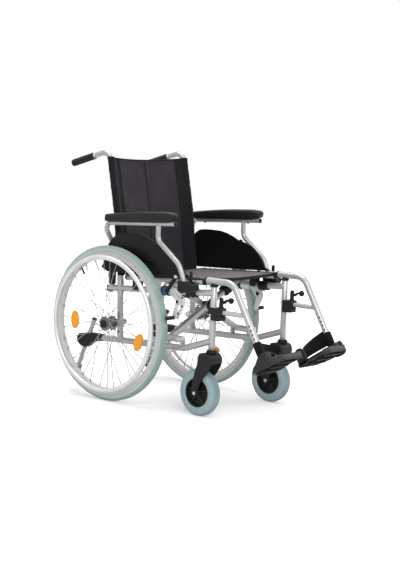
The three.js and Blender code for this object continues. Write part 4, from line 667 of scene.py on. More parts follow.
def round_axle(radius, angle, x):
    """A place at a radius and an angle round the rear axle."""
    return Vector((x, radius * math.cos(angle), AXLE_Z + radius * math.sin(angle)))


def ring(form, profile, sides, x, y, height):
    """A closed profile of (radius, place) turned round an axle as one ring."""
    skin(form, [[Vector((x + place, y + radius * math.cos(a), height + radius * math.sin(a)))
                 for radius, place in profile]
                for a in (2 * math.pi * k / sides for k in range(sides))], loop=True)


for side in SIDES:
    form = bmesh.new()
    ring(form, TREAD, WHEEL_SIDES, WHEEL_X, 0, AXLE_Z)
    fit(side, "tyre", form, tyre_rubber, "wheel", "wheel_tyre", 30)

    form = bmesh.new()
    ring(form, RIM, WHEEL_SIDES, WHEEL_X, 0, AXLE_Z)
    fit(side, "rim", form, rim_enamel, "wheel", "wheel_rim", 40)

    hub, form = bmesh.new(), bmesh.new()
    disc = [(16, 19.6), (26, 19.8), (28, 20.4), (28.4, 21), (28, 21.6), (26, 22.2), (18, 22.8),
            (16, 22.8)]
    for flange in (-1, 1):
        lathe(hub, [(r, flange * x) for r, x in disc], (WHEEL_X, 0, AXLE_Z), OUT, 48)
        # Spokes lead and trail by turns, each with a nipple at the rim and a head at the hub.
        for i in range(SPOKES):
            lead = (1 if i % 2 == 0 else -1) * flange
            hub_angle = 2 * math.pi * i / SPOKES + math.radians(5)
            rim_angle = hub_angle + lead * LACE
            low = round_axle(HUB_FLANGE_R - 4, hub_angle, WHEEL_X + flange * (21 + 1.5 * lead))
            high = round_axle(RIM_IN - 0.5, rim_angle, WHEEL_X + flange * (4.5 + 1.5 * lead))
            sweep(form, [low, high], 1.35, 8)
            nipple = high + (low - high).normalized() * 13
            sweep(form, [high, nipple], [2.2, 1.9], 8)
            lathe(form, [(2.6, -1.5), (2.6, 1.5)], low, OUT, 8)
    fit(side, "hub_and_spokes", form, spoke_steel, "wheel", "wheel_hub", 40)

    barrel = [(17, -HUB_HALF), (17.6, -HUB_HALF + 0.8), (17.6, -19), (16, -15), (13.6, -9)]
    lathe(hub, mirrored(barrel), (WHEEL_X, 0, AXLE_Z), OUT, 48)
    fit(side, "hub_barrel", hub, dark_aluminium, "wheel")

    form = bmesh.new()
    line = [round_axle(PUSH_R, 2 * math.pi * k / WHEEL_SIDES, PUSH_X) for k in range(WHEEL_SIDES)]
    sweep(form, line, PUSH_TUBE_R, 20, loop=True, first=OUT)
    for i in range(PUSH_TABS):
        angle = TAB_TURN + 2 * math.pi * i / PUSH_TABS
        low = round_axle(265, angle, WHEEL_X + RIM_HALF + 0.4)
        high = round_axle(262, angle, PUSH_X)
        sweep(form, [low, low.lerp(high, 0.3), low.lerp(high, 0.6), high], [5, 4, 4, 5.4], 12)
        lathe(form, [(6.4, 0), (6.4, 1.2), (5.2, 1.8)], low, OUT, 20)
    fit(side, "push_rim", form, push_rim_metal, "wheel", "handrim", 40)

    form = bmesh.new()
    for radius, angle in REFLECTORS[side]:
        centre = round_axle(radius, angle, WHEEL_X)
        radial = Vector((0, math.cos(angle), math.sin(angle)))
        around = Vector((0, -math.sin(angle), math.cos(angle)))
        skin(form, [[centre + OUT * deep + radial * REFLECTOR_WIDE * size * math.cos(a)
                     + around * REFLECTOR_LONG * size * math.sin(a)
                     for a in (2 * math.pi * k / 48 for k in range(48))]
                    for size, deep in mirrored([(0.8, -5.2), (0.92, -4.8), (0.99, -3.6), (1, -3)])])
    fit(side, "reflectors", form, reflector, "wheel", crease=60)

    form = bmesh.new()
    valve = round_axle(RIM_IN + 2, math.radians(52), WHEEL_X)
    inward = (round_axle(0, 0, WHEEL_X) - valve).normalized()
    lathe(form, [(3.4, 0), (3.4, 16), (3.9, 16.5), (3.9, 30), (3, 32)], valve, inward, 16)
    fit(side, "valve", form, black_nylon, "wheel")

    form = bmesh.new()
    lathe(form, [(11, -0.2), (15, 0), (15.6, 1.4), (15, 4.8), (12.5, 6.6), (7, 7.3), (3, 7.3)],
          (WHEEL_X + HUB_HALF + 0.3, 0, AXLE_Z), OUT, 40)
    lathe(form, [(4, 0), (4, 1.2), (2.5, 1.8)], (WHEEL_X + HUB_HALF + 6.8, 0, AXLE_Z), OUT, 20)
    fit(side, "axle_cap", form, black_nylon, "frame", "wheel_axle")

    form = bmesh.new()
    rod(form, (185, 0, AXLE_Z), (306.5, 0, AXLE_Z), 6)
    lathe(form, [(11, 0), (11, 6.7)], (185.1, 0, AXLE_Z), OUT, 6)
    rod(form, (191.6, 0, AXLE_Z), (199.6, 0, AXLE_Z), 12.5)
    rod(form, (238.3, 0, AXLE_Z), (251.7, 0, AXLE_Z), 9.5)
    fit(side, "axle_pin", form, zinc_steel, "frame")


# Casters: a moulded fork on a stem in the front post, and a solid grey tyre on a
# black hub that turns on the fork's bolt.

# Solid cast rubber: smooth blue-grey, matt, with rings left by the mould and a dusty tread.
caster_rubber, rubber, shader = new_material("grey_caster_rubber_cast", "#91a7ab", 0.66,
                                             sheen_weight=0.1)
CASTER_Y, CASTER_R, CASTER_HUB_R = -432.0, 89.0, 55.0
MOULD_RINGS = 420
where = add(rubber, "TexCoord").outputs["Object"]
middle = from_axle(rubber, add(rubber, "SeparateXYZ", {"Vector": where}), CASTER_Y, CASTER_R)
ring_wave = add(rubber, "Math", {0: middle, 1: MOULD_RINGS * 2 * math.pi}, operation="MULTIPLY")
ring_wave = add(rubber, "Math", {0: ring_wave}, operation="SINE")
tread = add(rubber, "MapRange", {"Value": middle, "From Min": 0.079, "From Max": 0.088})
cloud = add(rubber, "TexNoise", {"Vector": where, "Scale": 40.0, "Detail": 4.0})
shade = add(rubber, "Mix", {"Factor": tread, "A": "#9cb1b4", "B": "#7d9397"}, data_type="RGBA")
dust_and_top_light = add(rubber, "MapRange", {"Value": cloud, "From Min": 0.4, "From Max": 0.8, "To Max": 0.4})
shade = add(rubber, "Mix", {"Factor": dust_and_top_light, "A": shade, "B": "#b3c3c5"}, data_type="RGBA")
bump = add(rubber, "Bump", {"Height": ring_wave, "Strength": 0.15, "Distance": 0.0003})
wire(shader, {"Base Color": shade, "Normal": bump})

FORK_LEG_IN, FORK_LEG = 27.0, 8.0
FORK_SIDE = [(-453, 243.5), (-487, 243.5), (-498, 239), (-505, 229.5), (-507, 213),
             (-499, 190), (-485, 168), (-470, 150), (-457, 128), (-450, 108), (-447, 89),
             (-442.6, 78.4), (-432, 74), (-421.4, 78.4), (-417, 89), (-417.5, 105), (-419, 123),
             (-423, 143), (-428, 166), (-434, 185), (-440, 202), (-443, 222), (-447, 238)]


def between(a, b, c, d, t):
    """A share of the way from b to c, on a smooth curve through four points."""
    return 0.5 * (2 * b + (c - a) * t + (2 * a - 5 * b + 4 * c - d) * t ** 2
                  + (3 * b - a - 3 * c + d) * t ** 3)


def smooth_outline(spots, steps=4):
    """A closed outline drawn as a smooth curve through its points."""
    made = []
    for i in range(len(spots)):
        near = [Vector(spots[(i + k) % len(spots)]) for k in (-1, 0, 1, 2)]
        made += [tuple(between(*near, k / steps)) for k in range(steps)]
    return made


for side in SIDES:
    form = bmesh.new()
    outline = smooth_outline(FORK_SIDE)
    for near in (-FORK_LEG_IN - FORK_LEG, FORK_LEG_IN):
        slab(form, outline, HALF_WIDTH + near, HALF_WIDTH + near + FORK_LEG, soft=2.4)
    crown = [(y, z) for y, z in outline if z > 203]
    slab(form, crown, HALF_WIDTH - FORK_LEG_IN - 1, HALF_WIDTH + FORK_LEG_IN + 1, soft=0.1)
    lathe(form, [(17, 242), (18.5, 243.8), (17.5, 244.6), (9, 244.8)], mid(POST_Y, 0), UP, 32)
    for out in (-1, 1):
        face = HALF_WIDTH + out * (FORK_LEG_IN + FORK_LEG - 0.2)
        for y, z in ((-432, 89), (-433.5, 111), (-434.5, 132)):
            lathe(form, [(8.2, 0), (8.2, 0.6), (7.4, 1.2), (5.4, 1.2), (4.8, 0.5)],
                  (face, y, z), (out, 0, 0), 24)
    fit(side, "caster_fork_moulding", form, black_nylon, "fork", "caster_fork", 35)

    form = bmesh.new()
    rod(form, mid(POST_Y, 243), mid(POST_Y, 289), 8)
    rod(form, (HALF_WIDTH - 35.6, CASTER_Y, CASTER_R), (HALF_WIDTH + 35.6, CASTER_Y, CASTER_R), 5)
    for out in (-1, 1):
        face = (HALF_WIDTH + out * 35.2, CASTER_Y, CASTER_R)
        lathe(form, [(6.2, 0), (6.6, 0.6), (6.6, 1.6), (5.6, 2.4), (3.4, 2.9), (1, 3)],
              face, (out, 0, 0), 24)
    fit(side, "caster_bolt", form, zinc_steel, "fork")

    form = bmesh.new()
    tread = mirrored([(CASTER_HUB_R + 0.3, -20.5), (58, -22), (63, -23), (72, -22.6), (79, -20.6),
                      (84, -17.4), (87, -13.2), (88.6, -8), (89, -3)])
    ring(form, tread, 72, HALF_WIDTH, CASTER_Y, CASTER_R)
    fit(side, "caster_tyre_cast", form, caster_rubber, "caster", "caster_tyre", 35)

    # The hub is dished on both sides, with five ribs from its boss to its rim.
    form = bmesh.new()
    centre = mid(CASTER_Y, CASTER_R)
    dish = [(8, 21.5), (13.5, 21.5), (15, 20), (16.5, 11), (22, 8.2), (40, 7), (46, 8.5),
            (49.5, 19), (51, 21.5), (54, 22), (55, 21), (55, 0), (8, 0)]
    rib = (((14, -2.4, 6), (14, 2.4, 6), (48, 1.8, 6), (48, -1.8, 6)),
           ((14, -1.6, 18), (14, 1.6, 18), (49, 1.1, 16), (49, -1.1, 16)))
    for out in (-1, 1):
        lathe(form, [(r, out * x) for r, x in dish], centre, OUT, 60)
        for a in (2 * math.pi * i / 5 + 0.3 for i in range(5)):
            lean = Vector((0, math.cos(a), math.sin(a)))
            turn = Vector((0, -math.sin(a), math.cos(a)))
            skin(form, [[centre + lean * r + turn * w + OUT * out * x for r, w, x in row]
                        for row in rib])
    fit(side, "caster_hub_moulding", form, black_nylon, "caster", "caster_hub", 35)


# Armrests: a bent tube hoop that hinges on the receiver behind and drops into a lock in
# front, with a foam pad, a skirt guard, and the lock clamped on the upper rail.

# Integral-skin polyurethane foam: soft black, a leathery pebble moulded in, a dull shine
# that is duller where arms rest.
skin_foam, foam, shader = new_material("integral_skin_foam_pebbled", "#1f1f21", 0.5, specular=0.3)
PEBBLE_MM = 1.6
where = add(foam, "TexCoord").outputs["Object"]
pebble = add(foam, "TexVoronoi", {"Vector": where, "Scale": 1 / (PEBBLE_MM * MM)},
             feature="SMOOTH_F1")
rub = add(foam, "TexNoise", {"Vector": where, "Scale": 12.0, "Detail": 4.0})
shade = add(foam, "Mix", {"Factor": rub, "A": "#111112", "B": "#232325"}, data_type="RGBA")
# Painted shade: the grooves between the pebbles are mixed darker.
shade = add(foam, "Mix", {"Factor": pebble, "A": shade, "B": "#0b0b0c"}, data_type="RGBA")
gloss = add(foam, "MapRange", {"Value": rub, "To Min": 0.36, "To Max": 0.6})
bump = add(foam, "Bump", {"Height": pebble, "Strength": 0.35, "Distance": 0.0008}, invert=True)
wire(shader, {"Base Color": shade, "Roughness": gloss, "Normal": bump})

# ABS sheet, vacuum formed with a fine leather grain: brown-black with a broad soft shine.
guard_sheet = clouded("formed_abs_sheet", "#1e1d1c", 0.4, specular=0.2, cloud=(7.0, 3.0),
                      shades=("#0b0a0a", "#171514"), gloss=(0.32, 0.5),
                      grain=(900.0, 4.0, 0.25, 0.0003))

ARM_X, ARM_R = 257.0, 9.5
ARM_REAR, ARM_FRONT = (47.0, 697.0), (-312.0, 717.0)
# The front leg leaves the hoop here, and the side panel is screwed to both legs.
LEG_Y, PANEL_SCREWS = -227.0, ((48.0, 596.0), (-227.0, 628.0))
PAD_X, PAD_HALF, PAD_REAR, PAD_FRONT, PAD_RISE = 259.2, 22.0, 46.0, -319.0, 37.0
PANEL_X, PANEL_HALF = 241.5, 2.0
# The lock holds the foot of the front leg, which stands between a stop and its lever.
LOCK_REAR, LOCK_FRONT, LOCK_HIGH = -357.0, -401.0, 507.0
PANEL = [(55, 505), (55, 560), (47, 612), (18, 640), (-7, 656.4), (-44, 660.5), (-118, 660),
         (-172, 648), (-218, 628.5), (-271, 616.5), (-300, 600), (-333, 570), (-358, 530),
         (-358, 519.6)]


def rounded(corners, radius):
    """A closed outline with every corner rounded."""
    made, steps = [], 5
    for i, corner in enumerate(corners):
        here = Vector(corner)
        before, after = Vector(corners[i - 1]), Vector(corners[(i + 1) % len(corners)])
        reach = min(radius, (before - here).length / 2.1, (after - here).length / 2.1)
        start, end = (here + (way - here).normalized() * reach for way in (before, after))
        made += [tuple(start * (1 - t) ** 2 + here * 2 * t * (1 - t) + end * t ** 2)
                 for t in (k / steps for k in range(steps + 1))]
    return made


def arm_top(y):
    """The height of the axis of the hoop's top tube."""
    share = (y - ARM_REAR[0]) / (ARM_FRONT[0] - ARM_REAR[0])
    return ARM_REAR[1] + share * (ARM_FRONT[1] - ARM_REAR[1])


for side in SIDES:
    form = bmesh.new()
    sweep(form, bend((ARM_X, *ARM_FRONT), (ARM_X, *ARM_REAR, 24), (ARM_X, 47, 668, 34),
                     (HALF_WIDTH, RECEIVER_Y, 614, 34), mid(RECEIVER_Y, 503)), ARM_R)
    leg_top = (ARM_X, LEG_Y, arm_top(LEG_Y))
    sweep(form, bend(leg_top, (ARM_X, LEG_Y, 648, 40),
                     (ARM_X, -338, 566, 70), (ARM_X, -366, 506, 24), (ARM_X, -366, 482)), ARM_R)
    weld(form, leg_top, (0, 1, -0.056), -UP, ARM_R, ARM_R, 1.8)
    lathe(form, mirrored([(6, -9.3), (10, -9.3), (10.6, -8)]), mid(RECEIVER_Y, ARM_PIN_Z), OUT, 32)
    fit(side, "armrest_hoop", form, silver_paint, "armrest", "armrest_tube", 50)

    form = bmesh.new()
    around, along = 28, 40
    rings = []
    for j in range(along + 1):
        v = j / along
        # The ends are drawn in along a quarter round, so the pad has a full bull nose.
        end = min(v, 1 - v) * (PAD_REAR - PAD_FRONT)
        tuck = math.sqrt(max(0, 1 - max(0, 1 - end / 12) ** 2)) if end < 12 else 1.0
        y = PAD_REAR + (PAD_FRONT - PAD_REAR) * v
        nose = max(0, 1 - (y - PAD_FRONT) / 60)
        climb = math.sin(math.pi / 2 * min(v / 0.625, 1))
        full = PAD_RISE * (0.7 + 0.3 * climb - 0.5 * nose ** 2)
        half = PAD_HALF * (1 - 0.25 * nose ** 2) * (0.55 + 0.45 * tuck)
        base = arm_top(y) + 8.9 + 10 * nose ** 2
        full *= 0.35 + 0.65 * tuck
        lift = (1 - tuck) * PAD_RISE * 0.18
        ring_spots = []
        for k in range(around):
            a = 2 * math.pi * (k + 0.5) / around
            across, rise = math.cos(a), math.sin(a)
            across = math.copysign(abs(across) ** 0.55, across)
            rise = math.copysign(abs(rise) ** (0.6 if rise > 0 else 0.35), rise)
            ring_spots.append(Vector((PAD_X + half * across, y,
                                      base + lift + full * (0.42 + 0.56 * rise))))
        rings.append(ring_spots)
    skin(form, rings)
    pad = fit(side, "pad_foam", form, skin_foam, "armrest", "arm_pad", 60)

    form = bmesh.new()
    for y in (-20, -250):
        rod(form, (ARM_X, y, arm_top(y) + 12), (ARM_X, y, arm_top(y) - 10.2), 3.2, 12, 0.4)
        socket_screw(form, (ARM_X, y, arm_top(y) - ARM_R + 0.4), -UP, 5, 3)
    for y, z in PANEL_SCREWS:
        socket_screw(form, (PANEL_X - PANEL_HALF + 0.1, y, z), -OUT, 6, 2.6)
    fit(side, "armrest_screws", form, black_steel, "armrest")

    form = bmesh.new()
    way = Vector((0, ARM_FRONT[0] - ARM_REAR[0], ARM_FRONT[1] - ARM_REAR[1])).normalized()
    lathe(form, [(8.2, -8), (8.6, -1), (9.6, 0), (9.4, 1.6), (7, 3), (3, 3.4)],
          (ARM_X, *ARM_FRONT), way, 24)
    fit(side, "armrest_plug", form, black_nylon, "armrest")

    form = bmesh.new()
    outline = smooth_outline(PANEL, 3)
    low_edge = 504.0
    outline = [(y, max(z, low_edge + 0.042 * (55 - y) - 0.5)) for y, z in outline]
    slab(form, outline, PANEL_X - PANEL_HALF, PANEL_X + PANEL_HALF, soft=1.2)
    rim = [Vector((PANEL_X, y, z)) for y, z in outline[::2]]
    sweep(form, rim, 2.9, 8, loop=True)
    for (y, z), x in zip(PANEL_SCREWS, (HALF_WIDTH + ARM_R + 0.5, ARM_X - ARM_R - 0.5)):
        rod(form, (PANEL_X, y, z), (x, y, z), 7)
    fit(side, "skirt_guard", form, guard_sheet, "armrest", "side_panel", 35)

    form = bmesh.new()
    rail_mid = upper_rail((LOCK_REAR + LOCK_FRONT) / 2)
    lathe(form, [(13, 0), (18, 0), (19, 1.2), (19, 42.6), (18, 44), (13, 44)],
          upper_rail(LOCK_REAR), upper_rail(LOCK_FRONT) - upper_rail(LOCK_REAR), 32)
    cheek_outline = rounded([(-350, 505), (-356, 472), (-378, 464), (-404, 466), (-424, 478),
                             (-423, 496), (-404, 503), (-384, 507)], 8)
    for low, high in ((234, 243.8), (267.4, 271)):
        slab(form, cheek_outline, low, high, soft=1.4)
    floor_outline = rounded([(-353, 478.5), (-356, 472), (-378, 465), (-404, 467), (-422, 477)], 4)
    slab(form, floor_outline, 242, 269, soft=1.4)
    block(form, (242, -421, 476), (269, -402.5, 498), 1.4, 3)
    block(form, (242, -398.5, 478), (269, -379, LOCK_HIGH), 1.4, 3)
    block(form, (242, -353.4, 478), (269, -350, LOCK_HIGH), 1.0, 2)
    block(form, (224, LOCK_FRONT, rail_mid.z - 12), (236, LOCK_REAR, rail_mid.z + 12), 1.2, 3)
    for z in (476, 482, 488, 494):
        block(form, (270, -416, z), (272.2, -360, z + 2.2), 0.5, 0.8)
    fit(side, "armrest_lock_block", form, black_nylon, "frame", "armrest_lock", 35)

    form = bmesh.new()
    socket_screw(form, (271.8, -364, 498), OUT, 4.2, 2.4)
    socket_screw(form, mid(rail_mid.y, rail_mid.z - 18.6), -UP, 4.5, 3)
    fit(side, "armrest_lock_screws", form, black_steel, "frame")

    form = bmesh.new()
    lever = arc(-394, 498, 6, math.pi, 10) + [(-389, 512), (-388.6, 530), (-389, 540)]
    lever += arc(-394, 540, 5, steps=10) + [(-399.2, 530), (-399, 512)]
    slab(form, lever, 246, 254, soft=1.8)
    for z in (519, 524, 529, 534):
        rod(form, (246.4, -399.4, z), (253.6, -399.4, z), 1.0, 8, 0.2)
    fit(side, "armrest_catch_lever", form, black_nylon, "armrest_catch",
        "armrest_lever", 35)


# Hangers: bent tubes that hook on the front posts and swing outwards, each with a cross
# tube, a latch block that grips the post, and a ball-ended lever that frees it.

HANGER_R, HANGER_TOP, HANGER_REAR = 12.5, 515.0, -447.0
HANGER_KNEE, HANGER_END = mid(-573, 515), mid(-692, 311)
SHIN = (HANGER_END - HANGER_KNEE).normalized()
CROSS_Z, CROSS_R = 402.0, 9.5
BLOCK_REAR, BLOCK_FRONT, BLOCK_LOW, BLOCK_HIGH, BLOCK_HALF = -470.0, -531.0, 370.0, 418.0, 19.0
LATCH_Y, BALL_Y, BALL_Z, BALL_R = -519.0, -565.0, 450.0, 11.5

for side in SIDES:
    form = bmesh.new()
    line = bend(mid(HANGER_REAR, HANGER_TOP), (*HANGER_KNEE, 60), HANGER_END)
    sweep(form, line, HANGER_R, 28)
    shin_at = HANGER_KNEE + SHIN * (CROSS_Z - HANGER_TOP) / SHIN.z
    sweep(form, [mid(BLOCK_FRONT + 14, CROSS_Z), mid(shin_at.y, CROSS_Z)], CROSS_R)
    weld(form, shin_at, SHIN, (0, 1, 0), HANGER_R, CROSS_R, 1.8)
    fit(side, "hanger_tube", form, silver_paint, "legrest", "hanger", 50)

    form = bmesh.new()
    lathe(form, [(12.2, -4), (13.1, -3.6), (13.1, 1.5), (12.4, 3.4), (9.5, 4.6), (3, 5)],
          mid(HANGER_REAR, HANGER_TOP), (0, 1, 0), 32)
    lathe(form, [(13, 0), (15.2, 0), (15.6, 1), (15.6, 4.2), (14.6, 5.4), (13.4, 8)],
          mid(POST_Y, POST_HIGH + 0.3), UP, 32)
    rod(form, mid(POST_Y, 452), mid(POST_Y, POST_HIGH + 8), 8)
    fit(side, "hanger_hook", form, black_nylon, "legrest")

    # Spring-button holes, closed with black plugs, on either side of the tube's front.
    form = bmesh.new()
    for k in range(4):
        spot = HANGER_END - SHIN * (12 + 17 * k)
        for way in (Vector((0.8, -0.55, -0.3)), Vector((-0.8, -0.55, -0.3))):
            way = (way - SHIN * way.dot(SHIN)).normalized()
            lathe(form, [(3.4, 0), (3.4, 0.9), (2.2, 1.2)], spot + way * (HANGER_R - 0.6), way, 16)
    fit(side, "hanger_holes", form, black_nylon, "legrest")

    form = bmesh.new()
    upper = rounded_box(BLOCK_FRONT, BLOCK_REAR, 393, BLOCK_HIGH, 4)
    lower = rounded_box(BLOCK_FRONT + 3, -484, BLOCK_LOW, 396, 4)
    # The post passes through an open jaw, so the block is built as two cheeks and a bridge.
    for low, high in ((-BLOCK_HALF, -13.2), (13.2, BLOCK_HALF)):
        spots = upper if low > 0 else rounded_box(BLOCK_FRONT, POST_Y - 3, 393, BLOCK_HIGH, 4)
        slab(form, spots, HALF_WIDTH + low, HALF_WIDTH + high, soft=1.4)
        slab(form, lower, HALF_WIDTH + low * 0.94, HALF_WIDTH + high * 0.94 + 0.6, soft=1.2)
    block(form, (HALF_WIDTH - 16, BLOCK_FRONT, 393.5), (HALF_WIDTH + 16, POST_Y - 13.4, 417.4),
          1.4, 4)
    block(form, (HALF_WIDTH - 16, BLOCK_FRONT + 3, BLOCK_LOW + 0.5),
          (HALF_WIDTH + 16, POST_Y - 13.4, 395), 1.2, 4)
    block(form, (HALF_WIDTH + 2, POST_Y + 12.9, 394), (HALF_WIDTH + 16, BLOCK_REAR, 417), 1, 3)
    lathe(form, [(10, -4), (12.6, -4), (13.2, -3), (13.2, 1), (10, 1.4)],
          mid(BLOCK_FRONT, CROSS_Z), (0, -1, 0), 28)
    for z in (401, 406, 411):
        block(form, (HALF_WIDTH + BLOCK_HALF - 1, BLOCK_FRONT + 6, z),
              (HALF_WIDTH + BLOCK_HALF + 0.8, POST_Y - 8, z + 2), 0.4, 0.8)
    fit(side, "latch_housing", form, black_nylon, "legrest", "latch_block", 35)

    form = bmesh.new()
    for z in (CROSS_Z + 11, CROSS_Z - 14):
        rod(form, mid(BLOCK_FRONT + 2, z), mid(BLOCK_FRONT - 4, z), 2, 10)
        lathe(form, [(3, 0), (3.8, 1), (3.8, 5), (2.4, 6.4)],
              mid(BLOCK_FRONT - 3, z), (0, -1, 0), 18)
    socket_screw(form, (HALF_WIDTH + BLOCK_HALF - 0.4, POST_Y - 24, 384), OUT, 4, 2.6)
    rod(form, mid(POST_Y + 11, 405), mid(POST_Y + 24, 405), 1.8, 10, 0.3)
    fit(side, "latch_screws", form, black_steel, "legrest")

    form = bmesh.new()
    lathe(form, [(9.6, 0.3), (10, 1.4), (10, 5), (8.6, 7), (8, 9), (8, 31), (8.2, 35), (7, 38),
                 (4, 39.5)], mid(LATCH_Y, BLOCK_HIGH), UP, 28)
    arm = bend(mid(LATCH_Y, 441), (HALF_WIDTH, -536, 441, 8), (HALF_WIDTH, -546, 449, 8),
               mid(BALL_Y, BALL_Z))
    sweep(form, arm, [6.6 - 3 * i / (len(arm) - 1) for i in range(len(arm))], 16)
    ball = [(BALL_R * math.sin(math.pi * (k + 0.35) / 17.7),
             -BALL_R * math.cos(math.pi * (k + 0.35) / 17.7)) for k in range(18)]
    lathe(form, ball, mid(BALL_Y, BALL_Z), (0, -1, 0), 28)
    fit(side, "latch_lever_moulding", form, black_nylon, "latch",
        "latch_lever", 40)

    form = bmesh.new()
    rod(form, mid(LATCH_Y, 413.5), mid(LATCH_Y, 419), 4)
    lathe(form, [(3.4, 0), (3.4, 5), (2.6, 6.2)], mid(LATCH_Y, 456.5), UP, 18)
    fit(side, "latch_pin", form, zinc_steel, "latch")


# Footrests: a height tube that slides in the hanger, a moulded footplate that flips up on
# the tube's bent end, and a webbing strap behind the heel.

# Glass-filled polypropylene, moulded: dark warm grey, satin, with flow clouds, paler worn
# edges, and a painted highlight that makes the faces that look up paler, as top light does.
grey_moulding = clouded("moulded_polypropylene_grey", "#38353a", 0.5, specular=0.3,
                        cloud=(22.0, 3.0), shades=("#1d1c1f", "#2a282c"), gloss=(0.4, 0.6),
                        worn=(0.54, 0.64, 0.25, "#7c797e"), grain=(1300.0, 3.0, 0.2, 0.0004))
moulding = grey_moulding.node_tree
shader = moulding.nodes["Principled BSDF"]
# Painted highlight: faces that look up are mixed towards a paler grey, standing in for top light.
facing = add(moulding, "SeparateXYZ", {"Vector": add(moulding, "NewGeometry").outputs["Normal"]})
dust_and_top_light = add(moulding, "MapRange", {"Value": facing.outputs["Z"], "From Min": 0.3, "From Max": 0.6,
                                  "To Max": 0.8})
colour_before_top_light = shader.inputs["Base Color"].links[0].from_node
shade = add(moulding, "Mix", {"Factor": dust_and_top_light, "A": colour_before_top_light, "B": "#615f63"}, data_type="RGBA")
wire(shader, {"Base Color": shade})

# Near-black matt disc, almost without a shine, slightly mottled: painted shade that stands for the
# dark inside of the hinge bore.
bore_shade_black = clouded("matt_black_painted_bore_shade", "#070707", 0.9, specular=0.08,
                      cloud=(900.0, 2.0), shades=("#030303", "#0e0e0e"))


def weave(tree, where, scale, first, second):
    """The height of a plain weave, from two directions of thread."""
    spot = add(tree, "SeparateXYZ", {"Vector": where})
    threads = []
    for axis in (first, second):
        turn = add(tree, "Math", {0: spot.outputs[axis], 1: scale * 2 * math.pi},
                   operation="MULTIPLY")
        threads.append(add(tree, "Math", {0: turn}, operation="SINE"))
    return add(tree, "Math", {0: threads[0], 1: threads[1]}, operation="MULTIPLY")


# Woven polyester webbing: black, matt with a soft bloom, ribbed across its length. Its
# ribs are finer than a picture shows, so they are drawn at 2.5 mm.
webbing, web, shader = new_material("polyester_webbing_ribbed", "#161617", 0.85, specular=0.15,
                                    sheen_weight=0.08, sheen_roughness=0.4)
WEB_RIB_MM = 2.5
where = add(web, "TexCoord").outputs["Object"]
ribs = weave(web, where, 1 / (WEB_RIB_MM * MM), "X", "Z")
fuzz = add(web, "TexNoise", {"Vector": where, "Scale": 60.0, "Detail": 4.0})
shade = add(web, "Mix", {"Factor": fuzz, "A": "#0a0a0b", "B": "#171719"}, data_type="RGBA")
bump = add(web, "Bump", {"Height": ribs, "Strength": 0.35, "Distance": 0.0006})
wire(shader, {"Base Color": shade, "Normal": bump})

PLATE_TILT = math.radians(32.5)
PLATE_ALONG = Vector((0, -math.cos(PLATE_TILT), math.sin(PLATE_TILT)))
PLATE_UP = Vector((0, math.sin(PLATE_TILT), math.cos(PLATE_TILT)))
PLATE_ORIGIN = Vector((0, -676, 177))
PLATE_IN, PLATE_OUT, PLATE_DEPTH, DECK_TOP = 66.0, 240.0, 158.0, 20.0
PLATE_MIDDLE = Vector((153, 79))
PIN_UP, PIN_REAR, PIN_FRONT, FOOT_R = 38.0, 101.0, 136.0, 9.0
STRAP_WIDE, STRAP_THICK = 54.0, 3.0


def plate(x, along, up):
    """A place on the footplate, from its rear edge, along its slope and up from its underside."""
    return PLATE_ORIGIN + OUT * x + PLATE_ALONG * along + PLATE_UP * up


def deck_slab(form, outline, low, high, soft=1.0):
    """An outline of (x, along) made thick up from the footplate's underside."""
    slab(form, outline, -high, -low, PLATE_ORIGIN, OUT, PLATE_ALONG, soft)


def cheek(form, outline, low, high, soft=1.0):
    """An outline of (along, up) made thick across the footplate."""
    slab(form, outline, -high, -low, PLATE_ORIGIN, PLATE_ALONG, PLATE_UP, soft)


